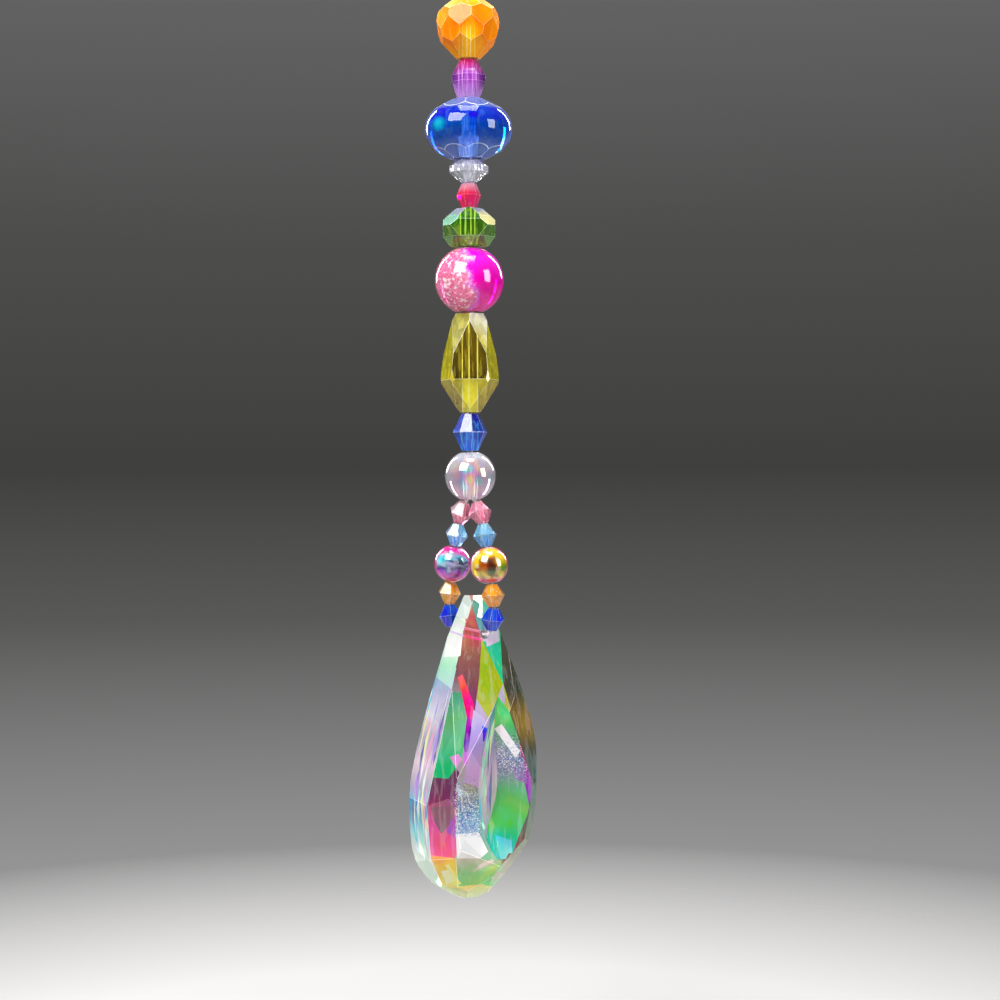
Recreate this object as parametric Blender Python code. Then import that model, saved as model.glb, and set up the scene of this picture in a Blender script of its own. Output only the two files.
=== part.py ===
"""Crystal suncatcher: a beaded thread under a hanging ring, which parts into two short strands
that carry a twisted, faceted drop prism.

Everything is in metres. The origin is the top of the hanging ring's inner edge, where a hook
bears, and the object hangs down -Z from it. X runs along the prism's drilled hole, from the
left strand to the right one.
"""

import math

import bmesh
import bpy
from mathutils import Matrix, Vector

# Thread and the clearances around it
THREAD_RADIUS = 0.00025
THREAD_LEG_SPACING = 0.0007
BORE_CLEARANCE = 0.00025
BEAD_GAP = 0.0002
MAIN_BORE_RADIUS = THREAD_LEG_SPACING / 2 + THREAD_RADIUS + BORE_CLEARANCE
SIDE_BORE_RADIUS = THREAD_RADIUS + BORE_CLEARANCE

# Hanging ring and crimp
RING_INNER_RADIUS = 0.0040
RING_WIRE_RADIUS = 0.0005
CRIMP_LENGTH = 0.0022
CRIMP_WALL = 0.0004
LOOP_CLEARANCE = 0.0001
LOOP_DROP = 0.0022

# Main strand, from the top: widths across the corners and lengths along the thread
ORANGE_WIDTH = 0.0110
ORANGE_LENGTH = 0.0103
ORANGE_END_WIDTH = 0.0040
PURPLE_WIDTH = 0.0060
PURPLE_LENGTH = 0.0064
PURPLE_TOP_WIDTH = 0.0030
PURPLE_BASE_WIDTH = 0.0040
PURPLE_GIRDLE = 0.0011
COBALT_WIDTH = 0.0147
COBALT_LENGTH = 0.0099
COBALT_END_WIDTH = 0.0056
COBALT_FACETS = 8
COBALT_FACET_REACH = 0.82
COBALT_UPPER_BORE_RADIUS = 0.0015
COBALT_UPPER_BORE_DEPTH = 0.0030
COBALT_LOWER_BORE_RADIUS = 0.0013
COBALT_LOWER_BORE_DEPTH = 0.0045
FLUTED_WIDTH = 0.0067
FLUTED_LENGTH = 0.0036
FLUTED_TOP_WIDTH = 0.0039
FLUTED_BASE_WIDTH = 0.0026
FLUTED_RIM_THICKNESS = 0.0009
RED_WIDTH = 0.0042
RED_LENGTH = 0.0040
RED_END_WIDTH = 0.0025
GREEN_WIDTH = 0.0086
GREEN_LENGTH = 0.0064
CRACKLE_WIDTH = 0.0115
CRACKLE_LENGTH = 0.0107
YELLOW_WIDTH = 0.0101
YELLOW_LENGTH = 0.0165
YELLOW_TOP_WIDTH = 0.0049
YELLOW_BASE_WIDTH = 0.0035
YELLOW_SIDES = 5
ROYAL_WIDTH = 0.0058
ROYAL_LENGTH = 0.0062
ROYAL_END_WIDTH = 0.0028
CLEAR_WIDTH = 0.0085
CLEAR_LENGTH = 0.0080
CLEAR_COUNTERSINK_RADIUS = 0.0013
CLEAR_COUNTERSINK_DEPTH = 0.0007

# Side strands, which hang below the clear round bead
SIDE_BICONE_WIDTH = 0.0041
SIDE_BICONE_LENGTH = 0.0037
SIDE_BICONE_END_WIDTH = 0.0019
SIDE_ROUND_WIDTH = 0.0063
SIDE_ROUND_LENGTH = 0.0059
SPREAD_ANGLE = 19.5
STRAND_STANDOFF = 2 * THREAD_RADIUS
STRAND_GAP = 0.00025

# Drop prism. Its front is the broad face turned to PRISM_FACE_AZIMUTH, from -Y towards +X
PRISM_HEIGHT = 0.0510
PRISM_WIDTH = 0.0216
PRISM_DEPTH_SHARE = 0.74
PRISM_FACE_AZIMUTH = 48.0
PRISM_HOLE_DEPTH = 0.0064
PRISM_HOLE_RADIUS = 0.0009
PRISM_HOLE_LENGTH = 0.0068
MOUTH_SLOPE = 0.3
PRISM_HANG = 0.0008

# The blank's outline: (share of the height down from the tip, share of the half width)
LEFT_OUTLINE = [
    (0.0, 0.17), (0.08, 0.30), (0.16, 0.40), (0.36, 0.68), (0.6, 0.95),
    (0.72, 0.98), (0.83, 0.94), (0.92, 0.77), (0.97, 0.46), (1.0, 0.16),
]
RIGHT_OUTLINE = [
    (0.0, 0.22), (0.11, 0.43), (0.25, 0.68), (0.36, 0.86), (0.48, 0.99),
    (0.6, 1.01), (0.7, 0.98), (0.8, 0.88), (0.9, 0.58), (0.96, 0.36), (1.0, 0.10),
]

# Corners where ridges meet on the front: (share of the half width across, share of the height)
TIP = (0.04, 0.02)
BAND_TOP = (-0.085, 0.085)
BAND_UPPER = (-0.30, 0.30)
BAND_LOWER = (-0.695, 0.675)
BAND_FOOT = (-0.64, 0.855)
BAND_BASE = (-0.46, 0.945)
MIDDLE_TOP = (0.165, 0.145)
MIDDLE_UPPER = (0.08, 0.335)
MIDDLE_KNEE = (-0.20, 0.55)
MIDDLE_LOWER = (-0.27, 0.67)
MIDDLE_FOOT = (-0.255, 0.847)
MIDDLE_BASE = (-0.10, 0.966)
ALMOND_SIDE = (-0.20, 0.80)
RIGHT_TOP = (0.43, 0.123)
RIGHT_BELLY = (0.95, 0.62)
RIGHT_LOWER = (0.80, 0.80)
RIGHT_BASE = (0.33, 0.965)
ALMOND_TOP = (0.50, 0.275)
ALMOND_BASE = (0.463, 0.863)
LEFT_EDGE = -2.0
RIGHT_EDGE = 2.0

# Each flat facet is the plane through three corners. A corner at an edge lies on the outline
ALMOND_FACET = (MIDDLE_KNEE, ALMOND_SIDE, RIGHT_BELLY)
PRISM_FACETS = [
    (BAND_TOP, BAND_UPPER, (LEFT_EDGE, 0.18)),
    (BAND_UPPER, BAND_LOWER, (LEFT_EDGE, 0.47)),
    (BAND_LOWER, BAND_FOOT, (LEFT_EDGE, 0.76)),
    (BAND_FOOT, BAND_BASE, (LEFT_EDGE, 0.91)),
    (TIP, BAND_TOP, (LEFT_EDGE, 0.03)),
    (TIP, MIDDLE_TOP, (RIGHT_EDGE, 0.05)),
    (BAND_TOP, MIDDLE_TOP, BAND_UPPER),
    (BAND_UPPER, MIDDLE_UPPER, MIDDLE_KNEE),
    (BAND_UPPER, MIDDLE_KNEE, BAND_LOWER),
    (BAND_LOWER, MIDDLE_LOWER, BAND_FOOT),
    (BAND_FOOT, MIDDLE_FOOT, BAND_BASE),
    (MIDDLE_TOP, ALMOND_TOP, MIDDLE_UPPER),
    (MIDDLE_TOP, RIGHT_TOP, ALMOND_TOP),
    ALMOND_FACET,
    (RIGHT_TOP, ALMOND_TOP, (RIGHT_EDGE, 0.27)),
    (ALMOND_TOP, RIGHT_BELLY, (RIGHT_EDGE, 0.43)),
    (RIGHT_BELLY, RIGHT_LOWER, (RIGHT_EDGE, 0.70)),
    (RIGHT_LOWER, ALMOND_BASE, (RIGHT_EDGE, 0.87)),
    (MIDDLE_FOOT, ALMOND_BASE, MIDDLE_BASE),
    (ALMOND_BASE, RIGHT_BASE, (RIGHT_EDGE, 0.93)),
    (MIDDLE_BASE, RIGHT_BASE, (RIGHT_EDGE, 0.99)),
]

# Almond scoop, in shares of the half width, but for its depth
ALMOND_LEFT_BOW = 0.38
ALMOND_RIGHT_BOW = 0.45
ALMOND_WALL = 0.26
ALMOND_LEAST_WALL = 0.03
ALMOND_DEPTH = 0.0018
ALMOND_CLEAR = 0.0015

# Fineness of round forms, how far a cutter runs past what it cuts, and the shortest facet edge
ROUND_STEPS = 28
BORE_SIDES = 12
THREAD_BEVEL_RESOLUTION = 2
CUT_OVERSHOOT = 1.3
LEAST_EDGE = 0.00003

# Turns of a faceted bead's rings, in facets, from the top down
IN_LINE = (0.0,)
BETWEEN = (0.5,)
STAGGERED = (0.0, 0.5)


def clear_scene():
    for old in list(bpy.data.objects):
        bpy.data.objects.remove(old)


def make_material(name, colour, roughness, metallic, transmission):
    """A Principled material with plain values; glass and acrylic let light through."""
    material = bpy.data.materials.new(name)
    material.use_nodes = True
    shader = material.node_tree.nodes["Principled BSDF"]
    shader.inputs["Base Color"].default_value = (*colour, 1.0)
    shader.inputs["Roughness"].default_value = roughness
    shader.inputs["Metallic"].default_value = metallic
    shader.inputs["Transmission Weight"].default_value = transmission
    return material


def glass(name, colour):
    return make_material(name, colour, 0.02, 0.0, 1.0)


def add_object(name, bm, material, location=(0, 0, 0), tilt=0.0, turn=0.0):
    """Links a finished mesh as one named object. Tilt leans its axis in XZ, turn spins it on it."""
    bmesh.ops.recalc_face_normals(bm, faces=bm.faces)
    mesh = bpy.data.meshes.new(name)
    bm.to_mesh(mesh)
    bm.free()
    mesh.materials.append(material)
    obj = bpy.data.objects.new(name, mesh)
    bpy.context.scene.collection.objects.link(obj)
    obj.matrix_world = (
        Matrix.Translation(location)
        @ Matrix.Rotation(tilt, 4, "Y")
        @ Matrix.Rotation(turn, 4, "Z")
    )
    return obj


def shade_round(obj, sharp_angle=30.0):
    obj.data.shade_smooth()
    obj.data.set_sharp_from_angle(angle=math.radians(sharp_angle))


def cut_facet(bm, point, outward):
    """Grinds one flat facet: removes what lies outside the plane and closes the cut."""
    everything = bm.verts[:] + bm.edges[:] + bm.faces[:]
    made = bmesh.ops.bisect_plane(
        bm, geom=everything, plane_co=point, plane_no=outward, dist=1e-8, clear_outer=True
    )
    rim = [item for item in made["geom_cut"] if isinstance(item, bmesh.types.BMEdge)]
    if rim:
        bmesh.ops.edgenet_fill(bm, edges=rim)


def block(radius, length, sides):
    """A plain upright cylinder, centred on the origin."""
    bm = bmesh.new()
    bmesh.ops.create_cone(
        bm, cap_ends=True, segments=sides, radius1=radius, radius2=radius, depth=length
    )
    return bm


def grind_rings(bm, profile, count, phases):
    """Grinds one ring of facets for each chord of the profile, which lists (corner radius, height)
    from the top down. The phases are the rings' turns, in facets, and repeat."""
    to_flat = math.cos(math.pi / count)
    for ring, (upper, lower) in enumerate(zip(profile, profile[1:])):
        rise = upper[1] - lower[1]
        reach = (lower[0] - upper[0]) * to_flat
        phase = phases[ring % len(phases)]
        for index in range(count):
            azimuth = 2 * math.pi * (index + phase) / count
            out = Vector((math.cos(azimuth), math.sin(azimuth), 0))
            point = out * upper[0] * to_flat + Vector((0, 0, upper[1]))
            normal = (out * rise + Vector((0, 0, reach))).normalized()
            cut_facet(bm, point, normal)


def faceted_mesh(profile, count, phases=IN_LINE):
    """A convex faceted bead, flat on its two ends."""
    widest = max(radius for radius, _ in profile)
    length = profile[0][1] - profile[-1][1]
    middle = (profile[0][1] + profile[-1][1]) / 2
    bm = block(widest * CUT_OVERSHOOT, length, count)
    bmesh.ops.translate(bm, verts=bm.verts, vec=(0, 0, middle))
    grind_rings(bm, profile, count, phases)
    return bm


def turned_mesh(profile, steps):
    """A closed turned solid. The profile lists (radius, height) once round its section."""
    bm = bmesh.new()
    verts = [bm.verts.new((radius, 0, height)) for radius, height in profile]
    edges = [bm.edges.new(pair) for pair in zip(verts, verts[1:] + verts[:1])]
    bmesh.ops.spin(
        bm, geom=verts + edges, cent=(0, 0, 0), axis=(0, 0, 1), angle=2 * math.pi,
        steps=steps, use_merge=True,
    )
    bmesh.ops.remove_doubles(bm, verts=bm.verts, dist=1e-7)
    return bm


def arc_profile(radius, half_length, steps, height_radius=None):
    """Outer (radius, height) points of a ball or oval that is ground flat at both ends."""
    rise = height_radius or radius
    limit = math.asin(half_length / rise)
    angles = [limit - 2 * limit * step / steps for step in range(steps + 1)]
    return [(radius * math.cos(angle), rise * math.sin(angle)) for angle in angles]


def bored_ball_mesh(width, length, bore_radius, steps, countersink=(0.0, 0.0)):
    """A round bead with a straight bore, and a countersink at its lower end if one is given."""
    radius = width / 2
    end_height = math.sqrt(radius**2 - bore_radius**2)
    half_length = min(length / 2, end_height)
    outer = arc_profile(radius, half_length, steps // 2)
    sink_radius, sink_depth = countersink
    if sink_radius:
        sink_height = -math.sqrt(radius**2 - sink_radius**2)
        outer = [point for point in outer if point[1] > sink_height]
        outer += [(sink_radius, sink_height), (bore_radius, sink_height + sink_depth)]
    else:
        outer += [(bore_radius, -half_length)]
    return turned_mesh(outer + [(bore_radius, half_length)], steps)


def drill(obj, profile):
    """Drills an object along its own Z with a turned cutter, from (radius, height) points."""
    bm = turned_mesh([(0.0, profile[0][1]), *profile, (0.0, profile[-1][1])], BORE_SIDES)
    cutter = add_object(obj.name + "_bore", bm, obj.data.materials[0])
    cutter.parent = obj
    subtract(obj, cutter)


def subtract(obj, cutter):
    cutter.hide_render = True
    cutter.display_type = "WIRE"
    boolean = obj.modifiers.new("Cut", "BOOLEAN")
    boolean.operation = "DIFFERENCE"
    boolean.object = cutter


def straight_bore(radius, length):
    """Cutter profile that runs past both ends of a bead."""
    reach = length * CUT_OVERSHOOT / 2
    return [(radius, reach), (radius, -reach)]


def bicone_profile(width, length, top_width, base_width, girdle=0.0):
    profile = [(top_width / 2, length / 2), (width / 2, girdle / 2)]
    if girdle:
        profile.append((width / 2, -girdle / 2))
    return profile + [(base_width / 2, -length / 2)]


def green_mesh():
    """Cushion shape: four broad faces, with narrow facets ground down its four corners."""
    across_flats = GREEN_WIDTH / 2
    half = GREEN_LENGTH / 2
    faces = [(0.51, 1.0), (1.0, 0.34), (1.0, -0.53), (0.72, -1.0)]  # shares of the width and length
    corners = [(0.42, 1.0), (0.88, 0.55), (1.22, 0.03), (0.97, -0.52), (0.47, -1.0)]

    def profile(rows):
        to_corner = across_flats / math.cos(math.pi / 4)
        return [(to_corner * wide, half * high) for wide, high in rows]

    bm = faceted_mesh(profile(faces), 4)
    grind_rings(bm, profile(corners), 4, BETWEEN)
    return bm


def yellow_mesh():
    """Pear shape: long upper facets, small upright facets round its low belly, a short base."""
    half = YELLOW_LENGTH / 2
    belly = YELLOW_WIDTH / 2
    rows = [(0.82, 0.212), (1.05, 0.671), (0.70, 0.884)]  # share of the belly, share of the way down
    body = [(belly * wide, half - YELLOW_LENGTH * down) for wide, down in rows]
    profile = [(YELLOW_TOP_WIDTH / 2, half), *body, (YELLOW_BASE_WIDTH / 2, -half)]
    bm = faceted_mesh(profile, YELLOW_SIDES, (0.0, 0.5, 0.5, 0.0))
    corner = belly / math.cos(math.pi / YELLOW_SIDES)
    grind_rings(bm, [(corner, half), (corner, -half)], YELLOW_SIDES, IN_LINE)
    return bm


def orange_profile():
    """Round bead in four rows of broad facets, a little fuller above its middle."""
    half = ORANGE_LENGTH / 2
    end = ORANGE_END_WIDTH / 2
    rows = [(0.90, 0.56), (1.0, 0.06), (0.86, -0.46)]  # share of the half width, of the half length
    body = [(ORANGE_WIDTH / 2 * wide, half * high) for wide, high in rows]
    return [(end, half), *body, (end, -half)]


def cobalt_mesh():
    """Oval bead, smooth round its middle, with broad facets ground on its crown and base."""
    radius = COBALT_WIDTH / 2
    half = COBALT_LENGTH / 2
    rise = half / math.sqrt(1 - (COBALT_END_WIDTH / COBALT_WIDTH) ** 2)
    outer = arc_profile(radius, half, ROUND_STEPS // 2, rise)
    bm = turned_mesh([(0.0, half), *outer, (0.0, -half)], ROUND_STEPS)
    end = COBALT_END_WIDTH / 2
    for side in (1, -1):
        rim = radius * COBALT_FACET_REACH
        rim_height = rise * math.sqrt(1 - COBALT_FACET_REACH**2)
        for index in range(COBALT_FACETS):
            azimuth = 2 * math.pi * index / COBALT_FACETS
            out = Vector((math.cos(azimuth), math.sin(azimuth), 0))
            point = out * rim + Vector((0, 0, side * rim_height))
            normal = (out * (half - rim_height) + Vector((0, 0, side * (rim - end)))).normalized()
            cut_facet(bm, point, normal)
    return bm


def cobalt_bore():
    """Stepped bore: moulded wide from both ends, with a narrow neck between."""
    half = COBALT_LENGTH / 2
    reach = half * CUT_OVERSHOOT
    neck_top = half - COBALT_UPPER_BORE_DEPTH
    neck_base = -half + COBALT_LOWER_BORE_DEPTH
    return [
        (COBALT_UPPER_BORE_RADIUS, reach),
        (COBALT_UPPER_BORE_RADIUS, neck_top),
        (MAIN_BORE_RADIUS, neck_top),
        (MAIN_BORE_RADIUS, neck_base),
        (COBALT_LOWER_BORE_RADIUS, neck_base),
        (COBALT_LOWER_BORE_RADIUS, -reach),
    ]


def fluted_mesh():
    """Saucer bead with flutes round its rim, deeper below the rim than above it."""
    flutes = 12
    flute_depth = 0.07
    rim_level = 0.42
    steps = flutes * 4
    half = FLUTED_LENGTH / 2
    rim_height = half - FLUTED_LENGTH * rim_level
    profile = [
        (MAIN_BORE_RADIUS, half),
        (FLUTED_TOP_WIDTH / 2, half),
        (FLUTED_WIDTH / 2, rim_height + FLUTED_RIM_THICKNESS / 2),
        (FLUTED_WIDTH / 2, rim_height - FLUTED_RIM_THICKNESS / 2),
        (FLUTED_BASE_WIDTH / 2, -half),
        (MAIN_BORE_RADIUS, -half),
    ]
    bm = turned_mesh(profile, steps)
    for vert in bm.verts:
        radius = vert.co.xy.length
        share = (radius - MAIN_BORE_RADIUS) / (FLUTED_WIDTH / 2 - MAIN_BORE_RADIUS)
        wave = math.cos(flutes * math.atan2(vert.co.y, vert.co.x))
        vert.co.xy *= 1 - flute_depth * share * (1 - wave) / 2
    return bm


def ring_mesh():
    bm = bmesh.new()
    wire_sides = 10
    verts = []
    for side in range(wire_sides):
        angle = 2 * math.pi * side / wire_sides
        reach = RING_INNER_RADIUS + RING_WIRE_RADIUS + RING_WIRE_RADIUS * math.cos(angle)
        verts.append(bm.verts.new((RING_WIRE_RADIUS * math.sin(angle), 0, reach)))
    edges = [bm.edges.new(pair) for pair in zip(verts, verts[1:] + verts[:1])]
    bmesh.ops.spin(
        bm, geom=verts + edges, cent=(0, 0, 0), axis=(1, 0, 0), angle=2 * math.pi,
        steps=40, use_merge=True,
    )
    bmesh.ops.remove_doubles(bm, verts=bm.verts, dist=1e-7)
    return bm


def make_hanging_ring():
    """Round wire ring in the YZ plane. Returns the height of its bottom wire's centre."""
    ring = add_object(
        "hanging_ring", ring_mesh(), make_material("silver_wire", (0.75, 0.75, 0.76), 0.2, 1.0, 0.0),
        location=(0, 0, -RING_INNER_RADIUS),
    )
    shade_round(ring, 60)
    return -2 * RING_INNER_RADIUS - RING_WIRE_RADIUS


def make_crimp(top):
    """Crimp tube that closes the thread's two legs below its loop. Returns its lower end."""
    half = CRIMP_LENGTH / 2
    outer = MAIN_BORE_RADIUS + CRIMP_WALL
    bulge = CRIMP_WALL / 2
    profile = [
        (MAIN_BORE_RADIUS, half),
        (outer, half),
        (outer + bulge, 0.0),
        (outer, -half),
        (MAIN_BORE_RADIUS, -half),
    ]
    crimp = add_object(
        "crimp_tube", turned_mesh(profile, 20),
        make_material("silver_tube", (0.72, 0.72, 0.73), 0.25, 1.0, 0.0), location=(0, 0, top - half),
    )
    shade_round(crimp, 40)
    return top - CRIMP_LENGTH


def main_bead_list():
    """(name, mesh, length, material, turn in degrees, cutter profile or None) from the top down."""
    main_bore = straight_bore(MAIN_BORE_RADIUS, YELLOW_LENGTH)
    return [
        ("orange_round_bead",
         faceted_mesh(orange_profile(), 8, STAGGERED),
         ORANGE_LENGTH, glass("orange_acrylic", (1.0, 0.38, 0.01)), 10, main_bore),
        ("purple_barrel_bead",
         faceted_mesh(bicone_profile(PURPLE_WIDTH, PURPLE_LENGTH, PURPLE_TOP_WIDTH,
                                     PURPLE_BASE_WIDTH, PURPLE_GIRDLE), 8),
         PURPLE_LENGTH, glass("purple_acrylic", (0.55, 0.2, 0.6)), 6, main_bore),
        ("cobalt_rondelle_bead", cobalt_mesh(),
         COBALT_LENGTH, glass("cobalt_acrylic", (0.1, 0.25, 0.9)), 20, cobalt_bore()),
        ("clear_fluted_bead", fluted_mesh(),
         FLUTED_LENGTH, glass("clear_acrylic", (0.85, 0.87, 0.92)), 4, None),
        ("red_bicone_bead",
         faceted_mesh(bicone_profile(RED_WIDTH, RED_LENGTH, RED_END_WIDTH, RED_END_WIDTH), 6),
         RED_LENGTH, glass("red_crystal", (0.9, 0.03, 0.2)), 25, main_bore),
        ("green_rondelle_bead", green_mesh(),
         GREEN_LENGTH, glass("green_crystal", (0.2, 0.6, 0.12)), PRISM_FACE_AZIMUTH, main_bore),
        ("pink_crackle_bead",
         bored_ball_mesh(CRACKLE_WIDTH, CRACKLE_LENGTH, MAIN_BORE_RADIUS, ROUND_STEPS),
         CRACKLE_LENGTH, glass("pink_crackle", (0.95, 0.3, 0.6)), 0, None),
        ("yellow_drop_bead", yellow_mesh(),
         YELLOW_LENGTH, glass("yellow_crystal", (0.85, 0.8, 0.15)), 66, main_bore),
        ("royal_bicone_bead",
         faceted_mesh(bicone_profile(ROYAL_WIDTH, ROYAL_LENGTH, ROYAL_END_WIDTH, ROYAL_END_WIDTH), 8),
         ROYAL_LENGTH, glass("royal_crystal", (0.03, 0.12, 0.7)), 33, main_bore),
        ("clear_round_bead",
         bored_ball_mesh(CLEAR_WIDTH, CLEAR_LENGTH, MAIN_BORE_RADIUS, ROUND_STEPS,
                         (CLEAR_COUNTERSINK_RADIUS, CLEAR_COUNTERSINK_DEPTH)),
         CLEAR_LENGTH, glass("clear_aurora", (0.95, 0.95, 0.92)), 0, None),
    ]


def make_main_strand(top):
    """Threads the main beads below one another. Returns the clear round bead's centre height."""
    centre = top
    for name, mesh, length, material, turn, cutter in main_bead_list():
        top -= BEAD_GAP
        centre = top - length / 2
        bead = add_object(name, mesh, material, (0, 0, centre), turn=math.radians(turn))
        if cutter:
            drill(bead, cutter)
        top -= length
    for name in ("pink_crackle_bead", "clear_round_bead"):
        shade_round(bpy.data.objects[name])
    return centre


def side_bead_list():
    """(name, length, colour, lean in degrees) from the top down; a lean is outward, going down."""
    return [
        ("rose_bicone", SIDE_BICONE_LENGTH, (0.95, 0.5, 0.6), 24.0),
        ("sky_bicone", SIDE_BICONE_LENGTH, (0.45, 0.75, 0.9), 12.0),
        ("rainbow_round", SIDE_ROUND_LENGTH, (0.8, 0.4, 0.6), 12.0),
        ("amber_bicone", SIDE_BICONE_LENGTH, (0.95, 0.55, 0.12), 6.0),
        ("royal_bicone", SIDE_BICONE_LENGTH, (0.03, 0.12, 0.75), -7.0),
    ]


def side_axis_points(clear_centre):
    """The ends of every bead's axis on the right strand, as (x, z), from the top down."""
    stand = CLEAR_WIDTH / 2 + STRAND_STANDOFF
    spread = math.radians(SPREAD_ANGLE)
    end = Vector((stand * math.sin(spread), clear_centre - stand * math.cos(spread)))
    ends = []
    for _, length, _, lean in side_bead_list():
        along = Vector((math.sin(math.radians(lean)), -math.cos(math.radians(lean))))
        if ends:
            end = ends[-1][1] + STRAND_GAP * along
        ends.append((end, end + length * along))
    return ends


def make_side_strand(side, hand, ends):
    """One strand of five beads. Hand is 1 on the right and -1 on the left."""
    for (kind, length, colour, lean), (top, base) in zip(side_bead_list(), ends):
        middle = (top + base) / 2
        name = f"{side}_{kind}_bead"
        if kind == "rainbow_round":
            bm = bored_ball_mesh(SIDE_ROUND_WIDTH, SIDE_ROUND_LENGTH, SIDE_BORE_RADIUS, 24)
        else:
            profile = bicone_profile(SIDE_BICONE_WIDTH, SIDE_BICONE_LENGTH,
                                     SIDE_BICONE_END_WIDTH, SIDE_BICONE_END_WIDTH)
            bm = faceted_mesh(profile, 6)
        bead = add_object(
            name, bm, glass(name, colour), (hand * middle.x, 0, middle.y),
            tilt=-hand * math.radians(lean), turn=math.radians(15 + 20 * hand),
        )
        if kind == "rainbow_round":
            shade_round(bead)
        else:
            drill(bead, straight_bore(SIDE_BORE_RADIUS, length))


def smooth_at(points, position):
    """Value at a position on the smooth curve through (position, value) points."""
    last = len(points) - 2
    index = max(0, min(last, sum(position >= point[0] for point in points) - 1))
    before, start, end, after = (
        points[max(0, min(last + 1, index + step))] for step in (-1, 0, 1, 2)
    )
    span = end[0] - start[0]
    share = (position - start[0]) / span
    slope_start = (end[1] - before[1]) / (end[0] - before[0]) * span
    slope_end = (after[1] - start[1]) / (after[0] - start[0]) * span
    return (
        start[1] * (2 * share**3 - 3 * share**2 + 1) + slope_start * (share**3 - 2 * share**2 + share)
        + end[1] * (3 * share**2 - 2 * share**3) + slope_end * (share**3 - share**2)
    )


def prism_half_width(across, level):
    """Half width of the blank on the side that a point lies on."""
    outline = LEFT_OUTLINE if across < 0 else RIGHT_OUTLINE
    return PRISM_WIDTH / 2 * max(0.0, smooth_at(outline, level))


def prism_half_depth(level):
    return PRISM_DEPTH_SHARE * (prism_half_width(-1, level) + prism_half_width(1, level)) / 2


def prism_frame():
    """Unit vectors of the broad front: to its right, and out of it."""
    face = math.radians(PRISM_FACE_AZIMUTH)
    right = Vector((math.cos(face), math.sin(face), 0))
    outward = Vector((math.sin(face), -math.cos(face), 0))
    return right, outward


def prism_place(across, out, level):
    right, outward = prism_frame()
    return right * across + outward * out + Vector((0, 0, -PRISM_HEIGHT * level))


def blank_point(spot, face):
    """The point of the blank at a spot (across, level) of its front, face 1, or back, face -1."""
    across = face * spot[0] * PRISM_WIDTH / 2
    half = prism_half_width(across, spot[1])
    across = max(-half, min(half, across))
    rise = math.sqrt(max(0.0, 1 - (across / half) ** 2))
    return prism_place(across, face * prism_half_depth(spot[1]) * rise, spot[1])


def prism_blank():
    """The oval drop that the facets are ground on. Its tip and base are flat."""
    sides = 40
    steps = 26
    first, last, end = 0.02, 0.985, 0.995
    body = [first + (last - first) * step / steps for step in range(steps + 1)]
    levels = [0.0, *body, end]
    bm = bmesh.new()
    rings = []
    for level in levels:
        ring = []
        for side in range(sides):
            turn = 2 * math.pi * side / sides
            half = prism_half_width(math.cos(turn), level)
            place = prism_place(
                half * math.cos(turn), prism_half_depth(level) * math.sin(turn), level
            )
            ring.append(bm.verts.new(place))
        rings.append(ring)
    for upper, lower in zip(rings, rings[1:]):
        for side in range(sides):
            after = (side + 1) % sides
            bm.faces.new((upper[side], upper[after], lower[after], lower[side]))
    bm.faces.new(rings[0])
    bm.faces.new(rings[-1])
    return bm


def facet_plane(spots, face):
    """A point and the outward normal of the facet through three spots of the blank."""
    first, second, third = (blank_point(spot, face) for spot in spots)
    normal = (second - first).cross(third - first).normalized()
    middle = (first + second + third) / 3
    if normal.dot(Vector((middle.x, middle.y, 0))) < 0:
        normal.negate()
    return first, normal


def grind_prism(bm):
    """Grinds every facet on the front and again on the back, which is the front's half turn."""
    for face in (1, -1):
        for spots in PRISM_FACETS:
            cut_facet(bm, *facet_plane(spots, face))
    for hand in (1, -1):
        mouth = Vector((hand * PRISM_HOLE_LENGTH / 2, 0, -PRISM_HOLE_DEPTH))
        cut_facet(bm, mouth, Vector((hand, 0, MOUTH_SLOPE)).normalized())
    bmesh.ops.remove_doubles(bm, verts=bm.verts, dist=LEAST_EDGE)
    bmesh.ops.dissolve_degenerate(bm, edges=bm.edges, dist=LEAST_EDGE)
    bmesh.ops.triangulate(bm, faces=bm.faces)


def scoop_section(share, face):
    """One section of the almond scoop, from its left edge over the ridge to its right edge."""
    plane_point, normal = facet_plane(ALMOND_FACET, face)
    right, outward = prism_frame()
    level = ALMOND_TOP[1] + (ALMOND_BASE[1] - ALMOND_TOP[1]) * share
    chord = ALMOND_TOP[0] + (ALMOND_BASE[0] - ALMOND_TOP[0]) * share
    bow = math.sin(math.pi * share)
    left = chord - ALMOND_LEFT_BOW * math.sin(math.pi * share**1.3) ** 0.6
    edge = chord + ALMOND_RIGHT_BOW * math.sin(math.pi * share**1.1) ** 0.6
    crescent = max(0.0, min(1.0, (share - 0.08) / 0.76)) ** 1.5
    ridge = left + ALMOND_WALL * math.sin(math.pi * crescent) + ALMOND_LEAST_WALL * bow
    depth = ALMOND_DEPTH * math.sin(math.pi * share**1.1) ** 0.7

    def on_face(across, sink):
        """The place straight out from (across, level) and the given depth under the facet.
        On the back it moves in with the outline, which is narrower there."""
        fit = prism_half_width(face, level) / prism_half_width(1, level)
        flat = prism_place(face * across * fit * PRISM_WIDTH / 2, 0.0, level)
        out = (plane_point - flat).dot(normal) / outward.dot(normal)
        return flat + outward * (out - face * sink)

    section = [on_face(left - ALMOND_LEAST_WALL, -ALMOND_CLEAR), on_face(left, 0.0)]
    floor_steps = 5
    for step in range(floor_steps):
        run = step / floor_steps
        section.append(on_face(ridge + (edge - ridge) * run, depth * (1 - run) ** 1.5))
    return section + [on_face(edge, 0.0), on_face(edge + ALMOND_LEAST_WALL, -ALMOND_CLEAR)]


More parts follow.
